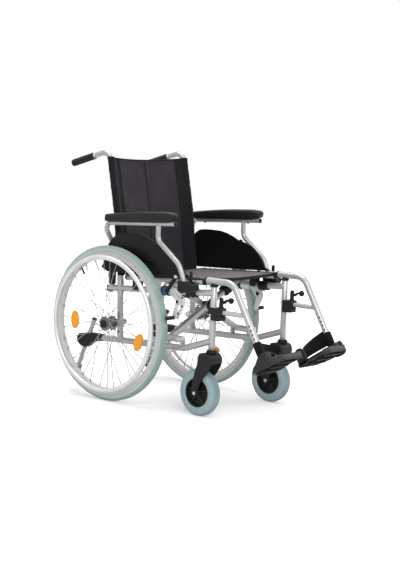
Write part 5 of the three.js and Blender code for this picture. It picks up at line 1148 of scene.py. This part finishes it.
for side, sign in SIDES.items():
    # The height tube follows the shin down to a knee, and from there the plate's slope.
    form = bmesh.new()
    pin_start = plate(HALF_WIDTH, 0, PIN_UP)
    gap = HANGER_END - pin_start
    turn = PLATE_ALONG.y * SHIN.z - PLATE_ALONG.z * SHIN.y
    knee = pin_start + PLATE_ALONG * (gap.y * SHIN.z - gap.z * SHIN.y) / turn
    sweep(form, bend(HANGER_END - SHIN * 130, (*knee, 16), plate(HALF_WIDTH, 112, PIN_UP)),
          FOOT_R)
    fit(side, "height_tube", form, silver_paint, "foot_slide", "foot_tube", 50)

    # The deck and its ribs are drawn in black nylon, darker than the grey moulding of the lip:
    # painted shade, for an underside that lies in shade.
    form = bmesh.new()
    corners = [(PLATE_IN, 11), (PLATE_IN + 11, 0), (PLATE_OUT - 45, 0), (PLATE_OUT - 1, 47),
               (PLATE_OUT - 1, 110), (PLATE_OUT - 45, PLATE_DEPTH - 1),
               (PLATE_IN + 22, PLATE_DEPTH - 1), (PLATE_IN, PLATE_DEPTH - 22)]
    outline = rounded(corners, 16)
    deck_slab(form, outline, 15.5, DECK_TOP, 1.2)
    inset = [tuple(Vector(spot).lerp(PLATE_MIDDLE, 0.055)) for spot in outline]
    rings = [[plate(*far, 7.4), plate(*far, 19), plate(*near, 19), plate(*near, 7.4)]
             for far, near in zip(outline, inset)]
    skin(form, rings, loop=True)
    for i in range(3):
        along = PLATE_DEPTH * (i + 1) / 4
        deck_slab(form, [(88, along), (196, along), (196, along + 5), (88, along + 5)],
                  0.4, 16, 1.4)
        deck_slab(form, [(70, along + 1), (232, along + 1), (232, along + 4), (70, along + 4)],
                  8, 16, 0.6)
    for x in (98, 130, 162, 194):
        deck_slab(form, [(x, 6), (x + 3, 6), (x + 3, 152), (x, 152)], 8, 16, 0.6)
    for along in range(16, 150, 9):
        # Fine ribs on the tread keep the foot from sliding.
        deck_slab(form, [(86, along), (204, along), (204, along + 2.6), (86, along + 2.6)],
                  19.5, 21.2, 0.5)
    tab = rounded([(15, 9), (15, 48), (24, 68), (34, 70), (48, 68), (58, 50), (58, 9)], 9)
    cheek(form, tab, PLATE_IN, PLATE_IN + 8, 1.8)
    sweep(form, [plate(PLATE_IN + 4, along, up) for along, up in tab], 4.0, 8, loop=True)
    fit(side, "footplate_deck", form, black_nylon, "footrest")

    form = bmesh.new()
    # The lip runs along the outer and front edges, highest beside the pin: across, along,
    # its top and its foot.
    path = [Vector(spot) for spot in
            ((200, 2, 20, 12), (238, 44, 24, 12), (238, 60, 33, 8), (238, 76, 45, 2),
             (238, 92, 53, 0.5), (237, 104, 55, 0.5), (232, 115, 55, 0.5), (224, 124, 51, 0.5),
             (215, 133, 41, 0.5), (206, 142, 28, 0.5), (197, 150, 23.5, 0.5), (186, 155, 22.5, 0.5),
             (160, 155.5, 23, 0.5), (120, 155.5, 24, 0.5), (92, 155, 24, 0.5), (80, 148, 24, 0.5),
             (70, 138, 22, 2))]
    fine = []
    for i in range(len(path) - 1):
        near = [path[max(0, min(i + k, len(path) - 1))] for k in (-1, 0, 1, 2)]
        fine += [between(*near, k / 4) for k in range(4)]
    fine.append(path[-1])
    rings = []
    for i, spot in enumerate(fine):
        way = fine[min(i + 1, len(fine) - 1)] - fine[max(i - 1, 0)]
        outwards = Vector((way.y, -way.x)).normalized()
        if outwards.dot(spot.xy - PLATE_MIDDLE) < 0:
            outwards = -outwards
        top, foot = spot.z, spot.w
        rings.append([plate(spot.x + outwards.x * a, spot.y + outwards.y * a, up)
                      for a, up in ((1.4, foot), (2, foot + 1.4), (2, top - 4), (3.2, top - 2.6),
                                    (3, top - 0.5), (0, top), (-3, top - 0.5), (-3.2, top - 2.6),
                                    (-2, top - 4), (-2, foot + 1.4), (-1.4, foot))])
    skin(form, rings)
    shelf = rounded([(206, 42), (238, 48), (238, 112), (206, 100)], 6)
    deck_slab(form, shelf, 12, 22.5, 2)
    lathe(form, [(10, PIN_REAR), (14, PIN_REAR + 0.2), (15, PIN_REAR + 1.6),
                 (15, PIN_FRONT - 20), (13, PIN_FRONT - 18)],
          plate(HALF_WIDTH, 0, PIN_UP), PLATE_ALONG, 32)
    foot = rounded([(206, PIN_REAR), (230, PIN_REAR), (228, PIN_FRONT - 19),
                    (206, PIN_FRONT - 19)], 4)
    deck_slab(form, foot, 12, PIN_UP, 2)
    fit(side, "footplate_moulding", form, grey_moulding, "footrest",
        "footplate", 35)

    # A near-black disc at the front of the hinge barrel: painted shade for the inside of the bore.
    form = bmesh.new()
    facing = (OUT + PLATE_ALONG).normalized()
    lathe(form, [(7, 0), (7, 0.9), (6.2, 1.2)], plate(216.3, 131.7, 34) + facing * 1.5, facing, 24)
    fit(side, "hinge_bore_shade", form, bore_shade_black, "footrest")

    form = bmesh.new()
    for along in (28, 44):
        socket_screw(form, plate(PLATE_IN + 0.6, along, 44), -OUT, 4, 1.6)
    fit(side, "footplate_screws", form, black_nylon, "footrest")

    form = bmesh.new()
    # The right strap stands higher at its inner end, as the photograph shows it.
    inner_low = plate(PLATE_IN + 8 + 0.3, 31, 22.5) + UP * (0 if side == "left" else 20)
    outer_low = Vector((HALF_WIDTH - 2, -706, 262))
    across, high = 28, 8
    faces_of_band = []
    for near in (0, 1):
        rows = []
        for i in range(across + 1):
            u = i / across
            row = []
            for j in range(high + 1):
                v = j / high
                spot = inner_low.lerp(outer_low, u)
                hang = math.sin(math.pi * u)
                spot.y += 9 * hang + near * STRAP_THICK - SHIN.y * STRAP_WIDE * v * u
                spot.z += (v - 0.06 * hang) * STRAP_WIDE
                # The woven edges are thinner than the middle of the band.
                if j in (0, high):
                    spot.y += 0.9 if near == 0 else -0.9
                row.append(spot)
            rows.append(row)
        faces_of_band.append(rows)
    skin(form, [front + back[::-1] for front, back in zip(*faces_of_band)])
    strap = make(side + "_heel_webbing", form, webbing, None, sign, [side + "_heel_strap"])
    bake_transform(strap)

    form = bmesh.new()
    low = HANGER_END + SHIN * 1.5
    lathe(form, [(FOOT_R + 0.4, 0), (15.6, 0.4), (16.6, 2), (16.8, 20), (16.2, 51), (15.4, 55),
                 (FOOT_R + 0.4, 55.4)], low, SHIN, 32)
    fit(side, "heel_strap_loop", form, webbing, "foot_slide")


# Parking brakes: a clamp on the upper rail holds a cast bracket, with a hand lever and
# a shoe on an arm that press on the tyre.

# Die-cast zinc, tumbled and lacquered: pale grey, softly shining, slightly uneven.
cast_metal = clouded("cast_zinc_tumbled", "#dcdddf", 0.4, 0.4, cloud=(240.0, 4.0),
                     shades=("#d9dada", "#f2f2f1"), gloss=(0.3, 0.52),
                     grain=(240.0, 4.0, 0.2, 0.0005))

# Anodised aluminium, dyed blue: deep clear colour on bright turned metal.
blue_ring = clouded("anodised_aluminium_blue", "#2a669a", 0.28, 0.6, cloud=(500.0, 3.0),
                    shades=("#1d4f7d", "#4a8cbc"), gloss=(0.2, 0.4))

LEVER_X, LEVER_Y, LEVER_Z = 254.0, -282.0, 462.0
HANDLE_Y, HANDLE_Z = -325.0, 522.0
SHOE_PIVOT_Y, SHOE_PIVOT_Z, SHOE_Y, SHOE_Z = -330.0, 424.0, -316.0, 362.0

for side in SIDES:
    form = bmesh.new()
    lathe(form, [(13, 0), (16, 0), (16.5, 0.8), (16.5, 44), (15.6, 45), (13, 45)],
          upper_rail(-264), RAIL_WAY, 32)
    # A plate fixed to the clamp, a finger that reaches down to the shoe, and a link from the
    # lever's pivot to the shoe's.
    bracket = rounded([(-272, 474), (-300, 474), (-342, 452), (-352, 424), (-340, 408),
                       (-320, 410), (-306, 432), (-274, 448)], 9)
    slab(form, bracket, 236, 240)
    finger = rounded([(-352, 440), (-361, 420), (-352, 396), (-330, 356), (-316, 354), (-318, 372),
                      (-338, 408), (-338, 428)], 7)
    slab(form, finger, 236.4, 239.4, soft=0.8)
    link = rounded([(-276, 470), (-290, 462), (-322, 420), (-336, 412), (-342, 424), (-330, 438),
                    (-296, 474)], 7)
    slab(form, link, 241.6, 244.4, soft=0.8)
    lathe(form, [(9, 236), (9, 249)], (0, LEVER_Y, LEVER_Z), OUT, 24)
    lathe(form, [(8, 236), (8, 244)], (0, SHOE_PIVOT_Y, SHOE_PIVOT_Z), OUT, 24)
    block(form, (HALF_WIDTH + 10, -308, upper_rail(-308).z - 12),
          (238, -280, upper_rail(-282).z + 5), 1.2, 3)
    for y, z in ((-348, 440), (-349, 408), (-332, 378)):
        lathe(form, [(6.6, 0), (6.6, 2.6), (5.2, 3.4)], (239.2, y, z), OUT, 24)
    ridge = [Vector((240.2, y, z)) for y, z in ((-290, 468), (-330, 450), (-346, 428))]
    sweep(form, ridge, 2.0, 8)
    fit(side, "brake_casting", form, cast_metal, "frame", "brake_bracket", 40)

    form = bmesh.new()
    for low in (-230, -255):
        lathe(form, [(13, 0), (19, 0), (20, 1), (20, 8), (19, 9), (13, 9)],
              upper_rail(low), RAIL_WAY, 36)
    fit(side, "brake_clamp_rings", form, black_nylon, "frame")

    form = bmesh.new()
    lathe(form, [(13, 0), (18.6, 0), (19, 0.6), (19, 15.4), (18.6, 16), (13, 16)],
          upper_rail(-239), RAIL_WAY, 36)
    fit(side, "brake_clamp_band", form, blue_ring, "frame")

    form = bmesh.new()
    for x, y, z, radius in ((257.6, LEVER_Y, LEVER_Z, 6), (251, SHOE_PIVOT_Y, SHOE_PIVOT_Z, 6),
                            (242.2, -348, 440, 3.8), (242.2, -349, 408, 3.8),
                            (242.2, -332, 378, 3.6)):
        socket_screw(form, (x, y, z), OUT, radius, 3.4)
    fit(side, "brake_bolts", form, black_steel, "frame")

    foot = Vector((LEVER_X, LEVER_Y, LEVER_Z))
    tip = Vector((LEVER_X, HANDLE_Y, HANDLE_Z))
    way = (tip - foot).normalized()
    length = (tip - foot).length
    form = bmesh.new()
    lathe(form, mirrored([(4.4, -3.8), (8.4, -3.8), (9, -3)]), foot, OUT, 28)
    lathe(form, [(4, 6), (4.2, 12), (6.8, 13), (7.5, 15), (7.5, length - 8), (7.3, length - 7)],
          foot, way, 24)
    for k in range(5):
        place = 20 + 6.4 * k
        lathe(form, [(7.2, place), (8.1, place + 0.8), (8.1, place + 3), (7.2, place + 3.8)],
              foot, way, 24)
    fit(side, "brake_handle", form, black_nylon, "brake_hand", "brake_lever", 40)

    form = bmesh.new()
    lathe(form, [(6.8, length - 8), (7.6, length - 7), (7.6, length - 3), (6.8, length - 0.8),
                 (5, length), (2, length + 0.2)], foot, way, 24)
    fit(side, "brake_handle_cap", form, cast_metal, "brake_hand")

    form = bmesh.new()
    lathe(form, mirrored([(4.4, -3.4), (7.4, -3.4), (8, -2.6)]),
          (248, SHOE_PIVOT_Y, SHOE_PIVOT_Z), OUT, 28)
    link = rounded([(-337, 424), (-325, 362), (-307, 362), (-322, 424)], 5)
    slab(form, link, 244.6, 251.4, soft=1.4)
    rod(form, (244.6, SHOE_Y, SHOE_Z), (252, SHOE_Y, SHOE_Z), 8)
    fit(side, "brake_link", form, cast_metal, "brake_foot", "brake_shoe", 40)

    form = bmesh.new()
    shoe = [(5, 0), (7.4, 0.4), (8, 1.4)]
    for k in range(7):
        shoe += [(8, 3 + 5.4 * k), (7.3, 4 + 5.4 * k), (7.3, 5 + 5.4 * k), (8, 6 + 5.4 * k)]
    lathe(form, shoe + [(8, 40.6), (7.2, 42), (4, 42.2)], (251.6, SHOE_Y, SHOE_Z), OUT, 24)
    fit(side, "brake_shoe_tube", form, grip_rubber, "brake_foot")


# Tip levers and anti-tip wheels: a moulded pedal plugged into the lower rail, with a tube
# through it that slides up and carries a small wheel behind.

TIP_TOP, TIP_AXLE = mid(141, 297), mid(238, 70)
TIP_DOWN = (TIP_AXLE - TIP_TOP).normalized()

for side in SIDES:
    form = bmesh.new()
    rear = LOWER_RAIL_END + RAIL_R * math.sin(LOWER_DROP)
    reach, top = 238 - rear, lower_rail(rear).z + RAIL_R
    corners = [(rear + 0.3, top - 25), (rear + 0.3, top), (rear + reach * 0.35, top + 1.9),
               (rear + reach * 0.9, top - 11.2), (rear + reach * 0.94, top - 37.5),
               (rear + reach * 0.8, top - 57.5), (rear + reach * 0.58, top - 62.5),
               (rear + reach * 0.4, top - 37.5)]
    pedal = rounded(corners, 14)
    slab(form, pedal, HALF_WIDTH - 15, HALF_WIDTH + 15, soft=3.5)
    rod(form, lower_rail(rear - 34), lower_rail(rear + 2), 9)
    lathe(form, [(9, -2), (13.6, -2), (14.4, -1), (14.4, 5), (12, 6)], lower_rail(rear),
          lower_rail(1) - lower_rail(0), 28)
    for k in range(6):
        at = rear + reach * (0.5 + 0.07 * k)
        rise = top + 1.9 - (0.15 + 0.07 * k) / 0.55 * 13.1
        block(form, (HALF_WIDTH - 12, at, rise - 3), (HALF_WIDTH + 12, at + 3, rise + 1.4),
              0.8, 1.2)
    fit(side, "tip_pedal", form, black_nylon, "frame", "tip_lever", 35)

    form = bmesh.new()
    socket_screw(form, (HALF_WIDTH + 14.4, rear + reach * 0.3, top - 14), OUT, 4.5, 2.6)
    fit(side, "tip_screw", form, black_steel, "frame")

    form = bmesh.new()
    end = TIP_AXLE - TIP_DOWN * 36
    rod(form, TIP_TOP - TIP_DOWN, end, FOOT_R)
    for x in (-13.25, 13.25):
        centre = TIP_AXLE + OUT * x
        lathe(form, mirrored([(8, -2), (9, -1.2)]), centre, OUT, 24)
        strip = [end + OUT * x + TIP_DOWN * -1.5, centre]
        sweep(form, strip, [8.4, 8.6], 12, flat=0.24, first=OUT)
    block(form, (HALF_WIDTH - 15, end.y - 9, end.z - 2), (HALF_WIDTH + 15, end.y + 9, end.z + 2),
          0.8, 1.2)
    fit(side, "anti_tip_stem", form, silver_paint, "anti_tip", "anti_tip_tube", 45)

    form = bmesh.new()
    lathe(form, [(9, 0.5), (11, 0.2), (11, -5), (9.6, -7.4), (5, -8)], TIP_TOP, TIP_DOWN, 24)
    fit(side, "anti_tip_cap", form, black_nylon, "anti_tip")

    form = bmesh.new()
    for out in (-1, 1):
        socket_screw(form, TIP_AXLE + OUT * out * 15, OUT * out, 5, 2.4)
    rod(form, TIP_AXLE - OUT * 15, TIP_AXLE + OUT * 15, 3.9)
    fit(side, "anti_tip_bolt", form, zinc_steel, "anti_tip")

    form = bmesh.new()
    wheel = mirrored([(4.3, -11), (8, -11), (9, -10), (11, -8), (17, -8), (19.5, -10.6),
                      (21, -11), (23.6, -8.6), (25, -5)])
    lathe(form, wheel, TIP_AXLE, OUT, 40)
    fit(side, "anti_tip_roller", form, black_nylon, "tip_roller",
        "anti_tip_wheel", 35)


# Cross brace: two flat-oval bars crossed on a centre bolt. Each turns on a pin at the foot
# of one side and carries the seat rail of the other, so the chair folds like scissors.

BAR_DEPTH, BAR_HIGH, BRACE_FRONT, BAR_GAP = 24.0, 22.0, -281.0, 2.0
CROWN_Z = seat_rail(BRACE_FRONT + BAR_DEPTH + BAR_GAP / 2).z
SEAT_REAR, SEAT_FRONT, SEAT_R = -34.0, -436.0, 11.0
LUMP_PLACE = 0.75

# The front bar rises to the left seat rail and the rear bar to the right one.
for body, sign, bar_rear in (("front_brace", 1, BRACE_FRONT + BAR_DEPTH),
                             ("rear_brace", -1, BRACE_FRONT + 2 * BAR_DEPTH + BAR_GAP)):
    middle_y = bar_rear - BAR_DEPTH / 2
    low = Vector((-HALF_WIDTH, middle_y, BRACE_PIN_Z))
    high = mid(middle_y, CROWN_Z)
    slope = (high - low).normalized()
    square = Vector((-slope.z, 0, slope.x))
    form = bmesh.new()

    def section(place, half_deep, half_high, soft):
        """A rounded rectangle across the bar, at a place along it."""
        return [low + slope * place + Vector((0, a, 0)) + square * b
                for a, b in rounded_box(-half_deep, half_deep, -half_high, half_high, soft)]

    span = (high - low).length
    skin(form, [section(place, BAR_DEPTH / 2, BAR_HIGH / 2, 6) for place in (10, span - 8)])
    rod(form, low + Vector((0, BRACE_PIN_FRONT - middle_y, 0)),
        low + Vector((0, BRACE_PIN_REAR - middle_y, 0)), 13)
    rod(form, seat_rail(SEAT_REAR), seat_rail(SEAT_FRONT), SEAT_R)
    weld(form, low + slope * 3, (0, 1, 0), slope, 10, 12, 1.8)
    make(body + "_tubes", form, silver_paint, body, sign, [body], 50)

    form = bmesh.new()
    at = span * LUMP_PLACE
    skin(form, [section(at + place, half_deep, half_high, 5) for place, half_deep, half_high in
                ((-23, 14, 13), (-20, 17.2, 17), (-8, 18, 18), (8, 18, 18), (20, 17.2, 17),
                 (23, 14, 13))])
    for place in (-14, -7, 0, 7, 14):
        skin(form, [section(at + place - 1.4, 18.6, 16, 3), section(at + place + 1.4, 18.6, 16, 3)])
    forwards = (seat_rail(SEAT_FRONT) - seat_rail(SEAT_REAR)).normalized()
    for y, way in ((SEAT_FRONT, forwards), (SEAT_REAR, -forwards)):
        lathe(form, [(8, -6), (11.1, -5.5), (11.6, -5), (11.6, 0.4), (9.6, 2.4), (4, 3)],
              seat_rail(y), way, 24)
    make(body + "_block", form, black_nylon, body, sign)

centre_z = (BRACE_PIN_Z + CROWN_Z) / 2
form = bmesh.new()
lathe(form, [(10, 0.3), (18.6, 0.3), (19, -1), (19, -4), (17.4, -6.6), (12, -7.8), (3, -8)],
      (0, BRACE_FRONT, centre_z), (0, 1, 0), 40)
lathe(form, [(8, 0), (10.4, 0), (10.4, 6.4), (8, 7.4)],
      (0, BRACE_FRONT + 2 * BAR_DEPTH + BAR_GAP + 0.4, centre_z), (0, 1, 0), 24)
lathe(form, [(7.2, 0.1), (16, 0.1), (16, 1.8), (7.2, 1.8)],
      (0, BRACE_FRONT + BAR_DEPTH, centre_z), (0, 1, 0), 32)
make("brace_bolt_cap", form, black_nylon, "front_brace")
form = bmesh.new()
rod(form, (0, BRACE_FRONT - 2, centre_z), (0, -225, centre_z), 6.6)
make("brace_bolt", form, zinc_steel, "front_brace")


# Seat: a nylon sling with a hem at each end, clamped on the seat rails by a strip and a
# row of screws on each side.

def fabric(name, dark, light, thread_mm, first, second, sheen):
    """A woven nylon cloth with its threads drawn at a set pitch."""
    material, cloth, shader = new_material(name, dark, 0.78, specular=0.15, sheen_weight=sheen,
                                           sheen_roughness=0.45)
    where = add(cloth, "TexCoord").outputs["Object"]
    threads = weave(cloth, where, 1 / (thread_mm * MM), first, second)
    rub = add(cloth, "TexNoise", {"Vector": where, "Scale": 11.0, "Detail": 4.0})
    fleck = add(cloth, "TexNoise", {"Vector": where, "Scale": 420.0, "Detail": 3.0})
    mixed = add(cloth, "Math", {0: rub, 1: fleck}, operation="ADD")
    tone = add(cloth, "MapRange", {"Value": mixed, "From Min": 0.7, "From Max": 1.3})
    shade = add(cloth, "Mix", {"Factor": tone, "A": dark, "B": light}, data_type="RGBA")
    # Painted shade: the low places of the weave are mixed towards near black.
    weave_hollow_shade = add(cloth, "MapRange", {"Value": threads, "From Min": -1.0, "From Max": 1.0,
                                   "To Min": 0.25, "To Max": 0.0})
    shade = add(cloth, "Mix", {"Factor": weave_hollow_shade, "A": shade, "B": "#141315"}, data_type="RGBA")
    slack = add(cloth, "TexNoise", {"Vector": where, "Scale": 24.0, "Detail": 3.0})
    bump = add(cloth, "Bump", {"Height": slack, "Strength": 0.25, "Distance": 0.004})
    bump = add(cloth, "Bump", {"Height": threads, "Strength": 0.4, "Distance": 0.0004,
                               "Normal": bump})
    wire(shader, {"Base Color": shade, "Normal": bump})
    return material


# Woven nylon, coated on its underside: warm grey with fine crossing threads, a dusty bloom
# and slight creases. Its threads are finer than a picture shows, so they are drawn at 2 mm.
seat_cloth = fabric("woven_nylon_warm_grey", "#676067", "#7c747b", 2.0, "X", "Y", 0.12)
# The same nylon, drawn near black at the hems, which are folded double: painted shade for the
# shaded underside of the seat's front edge.
hem_cloth = fabric("woven_nylon_hem_painted_shade", "#141215", "#211f22", 2.0, "X", "Z", 0.06)
# Bonded polyester thread, black with a dull gleam.
thread_black = clouded("bonded_polyester_thread", "#232125", 0.5, cloud=(1500.0, 1.0),
                       shades=("#161518", "#37343a"))

SEAT_SAG, SEAT_THICK = 15.0, 4.0
SEAT_CLOTH_REAR, SEAT_CLOTH_FRONT = -38.0, -439.0
HANG_X, SEAT_EDGE_X = 205.7, 222.0


def seat_height(x, y):
    """The underside of the seat cloth."""
    rail = seat_rail(y).z + 10.16 + 0.3
    # The folded hems keep the two ends tighter than the middle.
    tight = 0.45 + 0.55 * math.sin(math.pi * (y - SEAT_CLOTH_REAR)
                                   / (SEAT_CLOTH_FRONT - SEAT_CLOTH_REAR)) ** 0.7
    return rail - SEAT_SAG * tight * max(0, 1 - (x / HANG_X) ** 2)


STITCH, STITCH_PITCH = 3.4, 5.0


def stitches(form, spots, normal, thick):
    """A row of raised stitches along a line of points."""
    run, walked = 0.0, []
    for a, b in zip(spots, spots[1:]):
        span = (b - a).length
        while run < span:
            walked.append((a.lerp(b, run / span), (b - a).normalized()))
            run += STITCH_PITCH
        run -= span
    for spot, way in walked:
        side, half = way.cross(normal).normalized(), way * STITCH / 2
        skin(form, [[spot + half * a * share + side * b * wide + normal * lift
                     for a, b in ((-1, 1), (-1, -1), (1, -1), (1, 1))]
                    for share, wide, lift in ((1, 0.45, 0), (0.6, 0.3, thick))])


form = bmesh.new()
across, along = 60, 48
rings = []
for j in range(along + 1):
    v = j / along
    y = SEAT_CLOTH_REAR + (SEAT_CLOTH_FRONT - SEAT_CLOTH_REAR) * v
    # The hems are folded double, so the cloth is thicker near its two ends.
    hem = 1.0 if min(v, 1 - v) > 0.06 else 1.35
    upper, under = [], []
    for i in range(across + 1):
        x = -SEAT_EDGE_X + 2 * SEAT_EDGE_X * i / across
        inside = max(0, 1 - (x / HANG_X) ** 2)
        ripple = 0.7 * inside * math.sin(y / 23.0 + 0.6 * math.sin(x / 40.0)) * math.sin(x / 31.0)
        z = seat_height(x, y) + ripple
        turn_down = max(0, abs(x) - 214) * 0.25
        upper.append(Vector((x, y, z + SEAT_THICK * 0.75 * hem - turn_down)))
        under.append(Vector((x, y, z + 0.2)))
    rings.append(upper + under[::-1])
skin(form, rings)
seat = make("seat_sling", form, seat_cloth, None, 1, ["seat_cover"])

form = bmesh.new()
for y_mid in (SEAT_CLOTH_FRONT + 1.0, SEAT_CLOTH_REAR - 1.0):
    line = [Vector((x, y_mid, seat_height(x, y_mid) + 0.4))
            for x in (-218 + 436 * i / 60 for i in range(61))]
    sweep(form, line, 3.8, 12, flat=0.8)
# The front hem is a broad band that wraps under the cloth, drawn dark as painted shade.
fold = ((-0.6, 3.4), (-2.2, 1.0), (-2.0, -5.0), (-0.2, -7.5), (2.4, -7.0), (2.6, 0.0))
skin(form, [[Vector((x, SEAT_CLOTH_FRONT + y, seat_height(x, SEAT_CLOTH_FRONT) + z))
             for y, z in fold] for x in (-214 + 428 * i / 60 for i in range(61))])
hem = make("seat_hems", form, hem_cloth, None)

form = bmesh.new()
for y in (-50, -58, -419, -427):
    spots = [Vector((x, y, seat_height(x, y) + SEAT_THICK)) for x in range(-196, 197, 4)]
    stitches(form, spots, UP, thick=0.8)
for x in (-198, 198):
    spots = [Vector((x, y, seat_height(x, y) + SEAT_THICK * 0.75)) for y in range(-46, -432, -4)]
    stitches(form, spots, UP, thick=0.8)
seam = make("seat_stitches", form, thread_black, None)
for piece in (seat, hem, seam):
    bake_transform(piece)

for body, sign in (("front_brace", 1), ("rear_brace", -1)):
    form = bmesh.new()
    strip = []
    for y in (-44, -433):
        base = seat_height(217, y) + SEAT_THICK * 0.75
        strip.append([Vector((x, y, base + z)) for x, z in
                      ((209, -0.3), (223, -1.0), (226.6, -5.5), (228, -5.0), (226.4, -0.2),
                       (223.8, 1.6), (211, 2.2), (209, 1.6))])
    skin(form, strip)
    make(body + "_seat_strip", form, black_nylon, body, sign)
    form = bmesh.new()
    for y in range(-60, -431, -60):
        socket_screw(form, (217, y, seat_height(217, y) + SEAT_THICK * 0.75 + 1.7), UP, 4, 2.2)
    make(body + "_seat_screws", form, zinc_steel, body, sign)


# Back: a padded nylon sling sewn in two panels, with a sleeve at each side that slips
# over the cane, and a tape bound round its top edge and its foot.

BACK_LOW, BACK_HIGH, BACK_SAG, TOP_DIP = 492.0, 951.0, 28.0, 9.0
BACK_EDGE = HALF_WIDTH - CANE_R - 0.3 - 1.5
SLEEVE_X, BACK_HALF = 168.0, 204

back_cloth = fabric("woven_nylon_charcoal", "#2e2a2f", "#3d383f", 2.0, "X", "Z", 0.08)
sleeve_cloth = fabric("woven_nylon_deep_black", "#161417", "#211f22", 2.0, "X", "Z", 0.06)


def cane_at(z):
    """The y of the cane's axis at a height."""
    (foot_y, foot_z), (knee_y, knee_z), (top_y, top_z) = CANE_FOOT.yz, CANE_KNEE, CANE_TOP
    if z < knee_z:
        return foot_y + (z - foot_z) * (knee_y - foot_y) / (knee_z - foot_z)
    return knee_y + (z - knee_z) * (top_y - knee_y) / (top_z - knee_z)


def back_place(x, v):
    """The middle of the back cloth at a place across and a share of its height."""
    inside = max(0, 1 - (x / BACK_EDGE) ** 2)
    z = BACK_LOW + (BACK_HIGH - BACK_LOW) * v - TOP_DIP * inside * v
    return Vector((x, cane_at(z) + BACK_SAG * inside, z))


def back_panel(form, x_low, x_high, across, along, full):
    """A panel of the back with a front and a rear face, puffed a little between seams."""
    rings = []
    for j in range(along + 1):
        v = j / along
        front, rear = [], []
        for i in range(across + 1):
            u = i / across
            x = x_low + (x_high - x_low) * u
            spot = back_place(x, v)
            puff = full * (math.sin(math.pi * u) ** 0.6 if 0 < u < 1 else 0)
            puff *= min(1, 8 * min(v, 1 - v)) ** 0.5
            # Slack in the cloth, and puckers where the thread pulls it in.
            ripple = 1.5 * math.sin(v * 17 + x / 29) * math.sin(x / 27 + v * 5)
            beside = min(abs(x - x_low), abs(x - x_high))
            ripple += 1.3 * math.exp(-beside / 14) * math.sin(v * 190 + 3 * math.sin(v * 31))
            ripple *= min(1, 6 * v * (1 - v))
            front.append(spot - Vector((0, 1.1 + puff + ripple * 0.6, 0)))
            rear.append(spot + Vector((0, 1.1 + puff * 0.5 - ripple * 0.6, 0)))
        rings.append(front + rear[::-1])
    skin(form, rings)


form = bmesh.new()
back_panel(form, -SLEEVE_X, 0, 36, 120, 1.8)
back_panel(form, 0, SLEEVE_X, 36, 120, 1.8)
back = make("back_sling", form, back_cloth, "right_frame", 1, ["back_cover"])

# A folded tape binds the top edge and the foot, and a cord runs up each seam.
form = bmesh.new()
for v, rise, thick in ((1.0, -2.5, 3.6), (0.0, 3, 3.2)):
    line = [back_place(-BACK_HALF + 2 * BACK_HALF * i / 60, v) + Vector((0, 0, rise))
            for i in range(61)]
    sweep(form, line, thick, 12)
for x, ahead, thick in ((-SLEEVE_X, 2.0, 2.2), (SLEEVE_X, 2.0, 2.2), (0, 1.2, 1.8)):
    line = [back_place(x, v / 40) - Vector((0, ahead, 0)) for v in range(41)]
    sweep(form, line, thick, 8)
back_binding = make("back_binding", form, sleeve_cloth, "right_frame")

form = bmesh.new()
towards = Vector((0, -1, 0))
for x in (-SLEEVE_X - 7, -SLEEVE_X + 6, -6, 6, SLEEVE_X - 6, SLEEVE_X + 7):
    spots = [back_place(x, v / 60) - Vector((0, 2.4, 0)) for v in range(1, 60)]
    stitches(form, spots, towards, thick=0.9)
for v in (0.03, 0.97):
    spots = [back_place(x, v) - Vector((0, 2.2, 0)) for x in range(-160, 161, 4)]
    stitches(form, spots, towards, thick=1.6)
back_seams = make("back_stitches", form, thread_black, "right_frame")

# The right sleeve goes with the right side and the left sleeve with the left side.
for side, sign in SIDES.items():
    form = bmesh.new()
    rings = []
    for j in range(101):
        v = j / 100
        z_edge = BACK_LOW + (BACK_HIGH + 4 - BACK_LOW) * v
        centre = mid(cane_at(z_edge), z_edge)
        slack = math.sin(v * 67 + sign) * math.sin(v * 23) + 0.6 * math.sin(v * 130)
        outer = [centre + Vector((14.0 * math.cos(a), (14.0 + slack) * math.sin(a), 0))
                 for a in (math.radians(t) for t in range(-150, 151, 10))]
        tail = back_place(SLEEVE_X, v)
        near = [back_place(x, v) for x in (196, 186, 176)]
        rear = [spot + Vector((0, 1.3, 0)) for spot in near]
        front = [spot - Vector((0, 1.3, 0)) for spot in near]
        ring_spots = outer + rear + [tail + Vector((0, 1.2, 0)), tail - Vector((0, 1.2, 0))]
        rings.append(ring_spots + front[::-1])
    skin(form, rings)
    fit(side, "back_sleeve", form, sleeve_cloth, "frame")

# Each piece of the back gets a mesh of its own.
for piece in (back, back_binding, back_seams):
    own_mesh(piece)
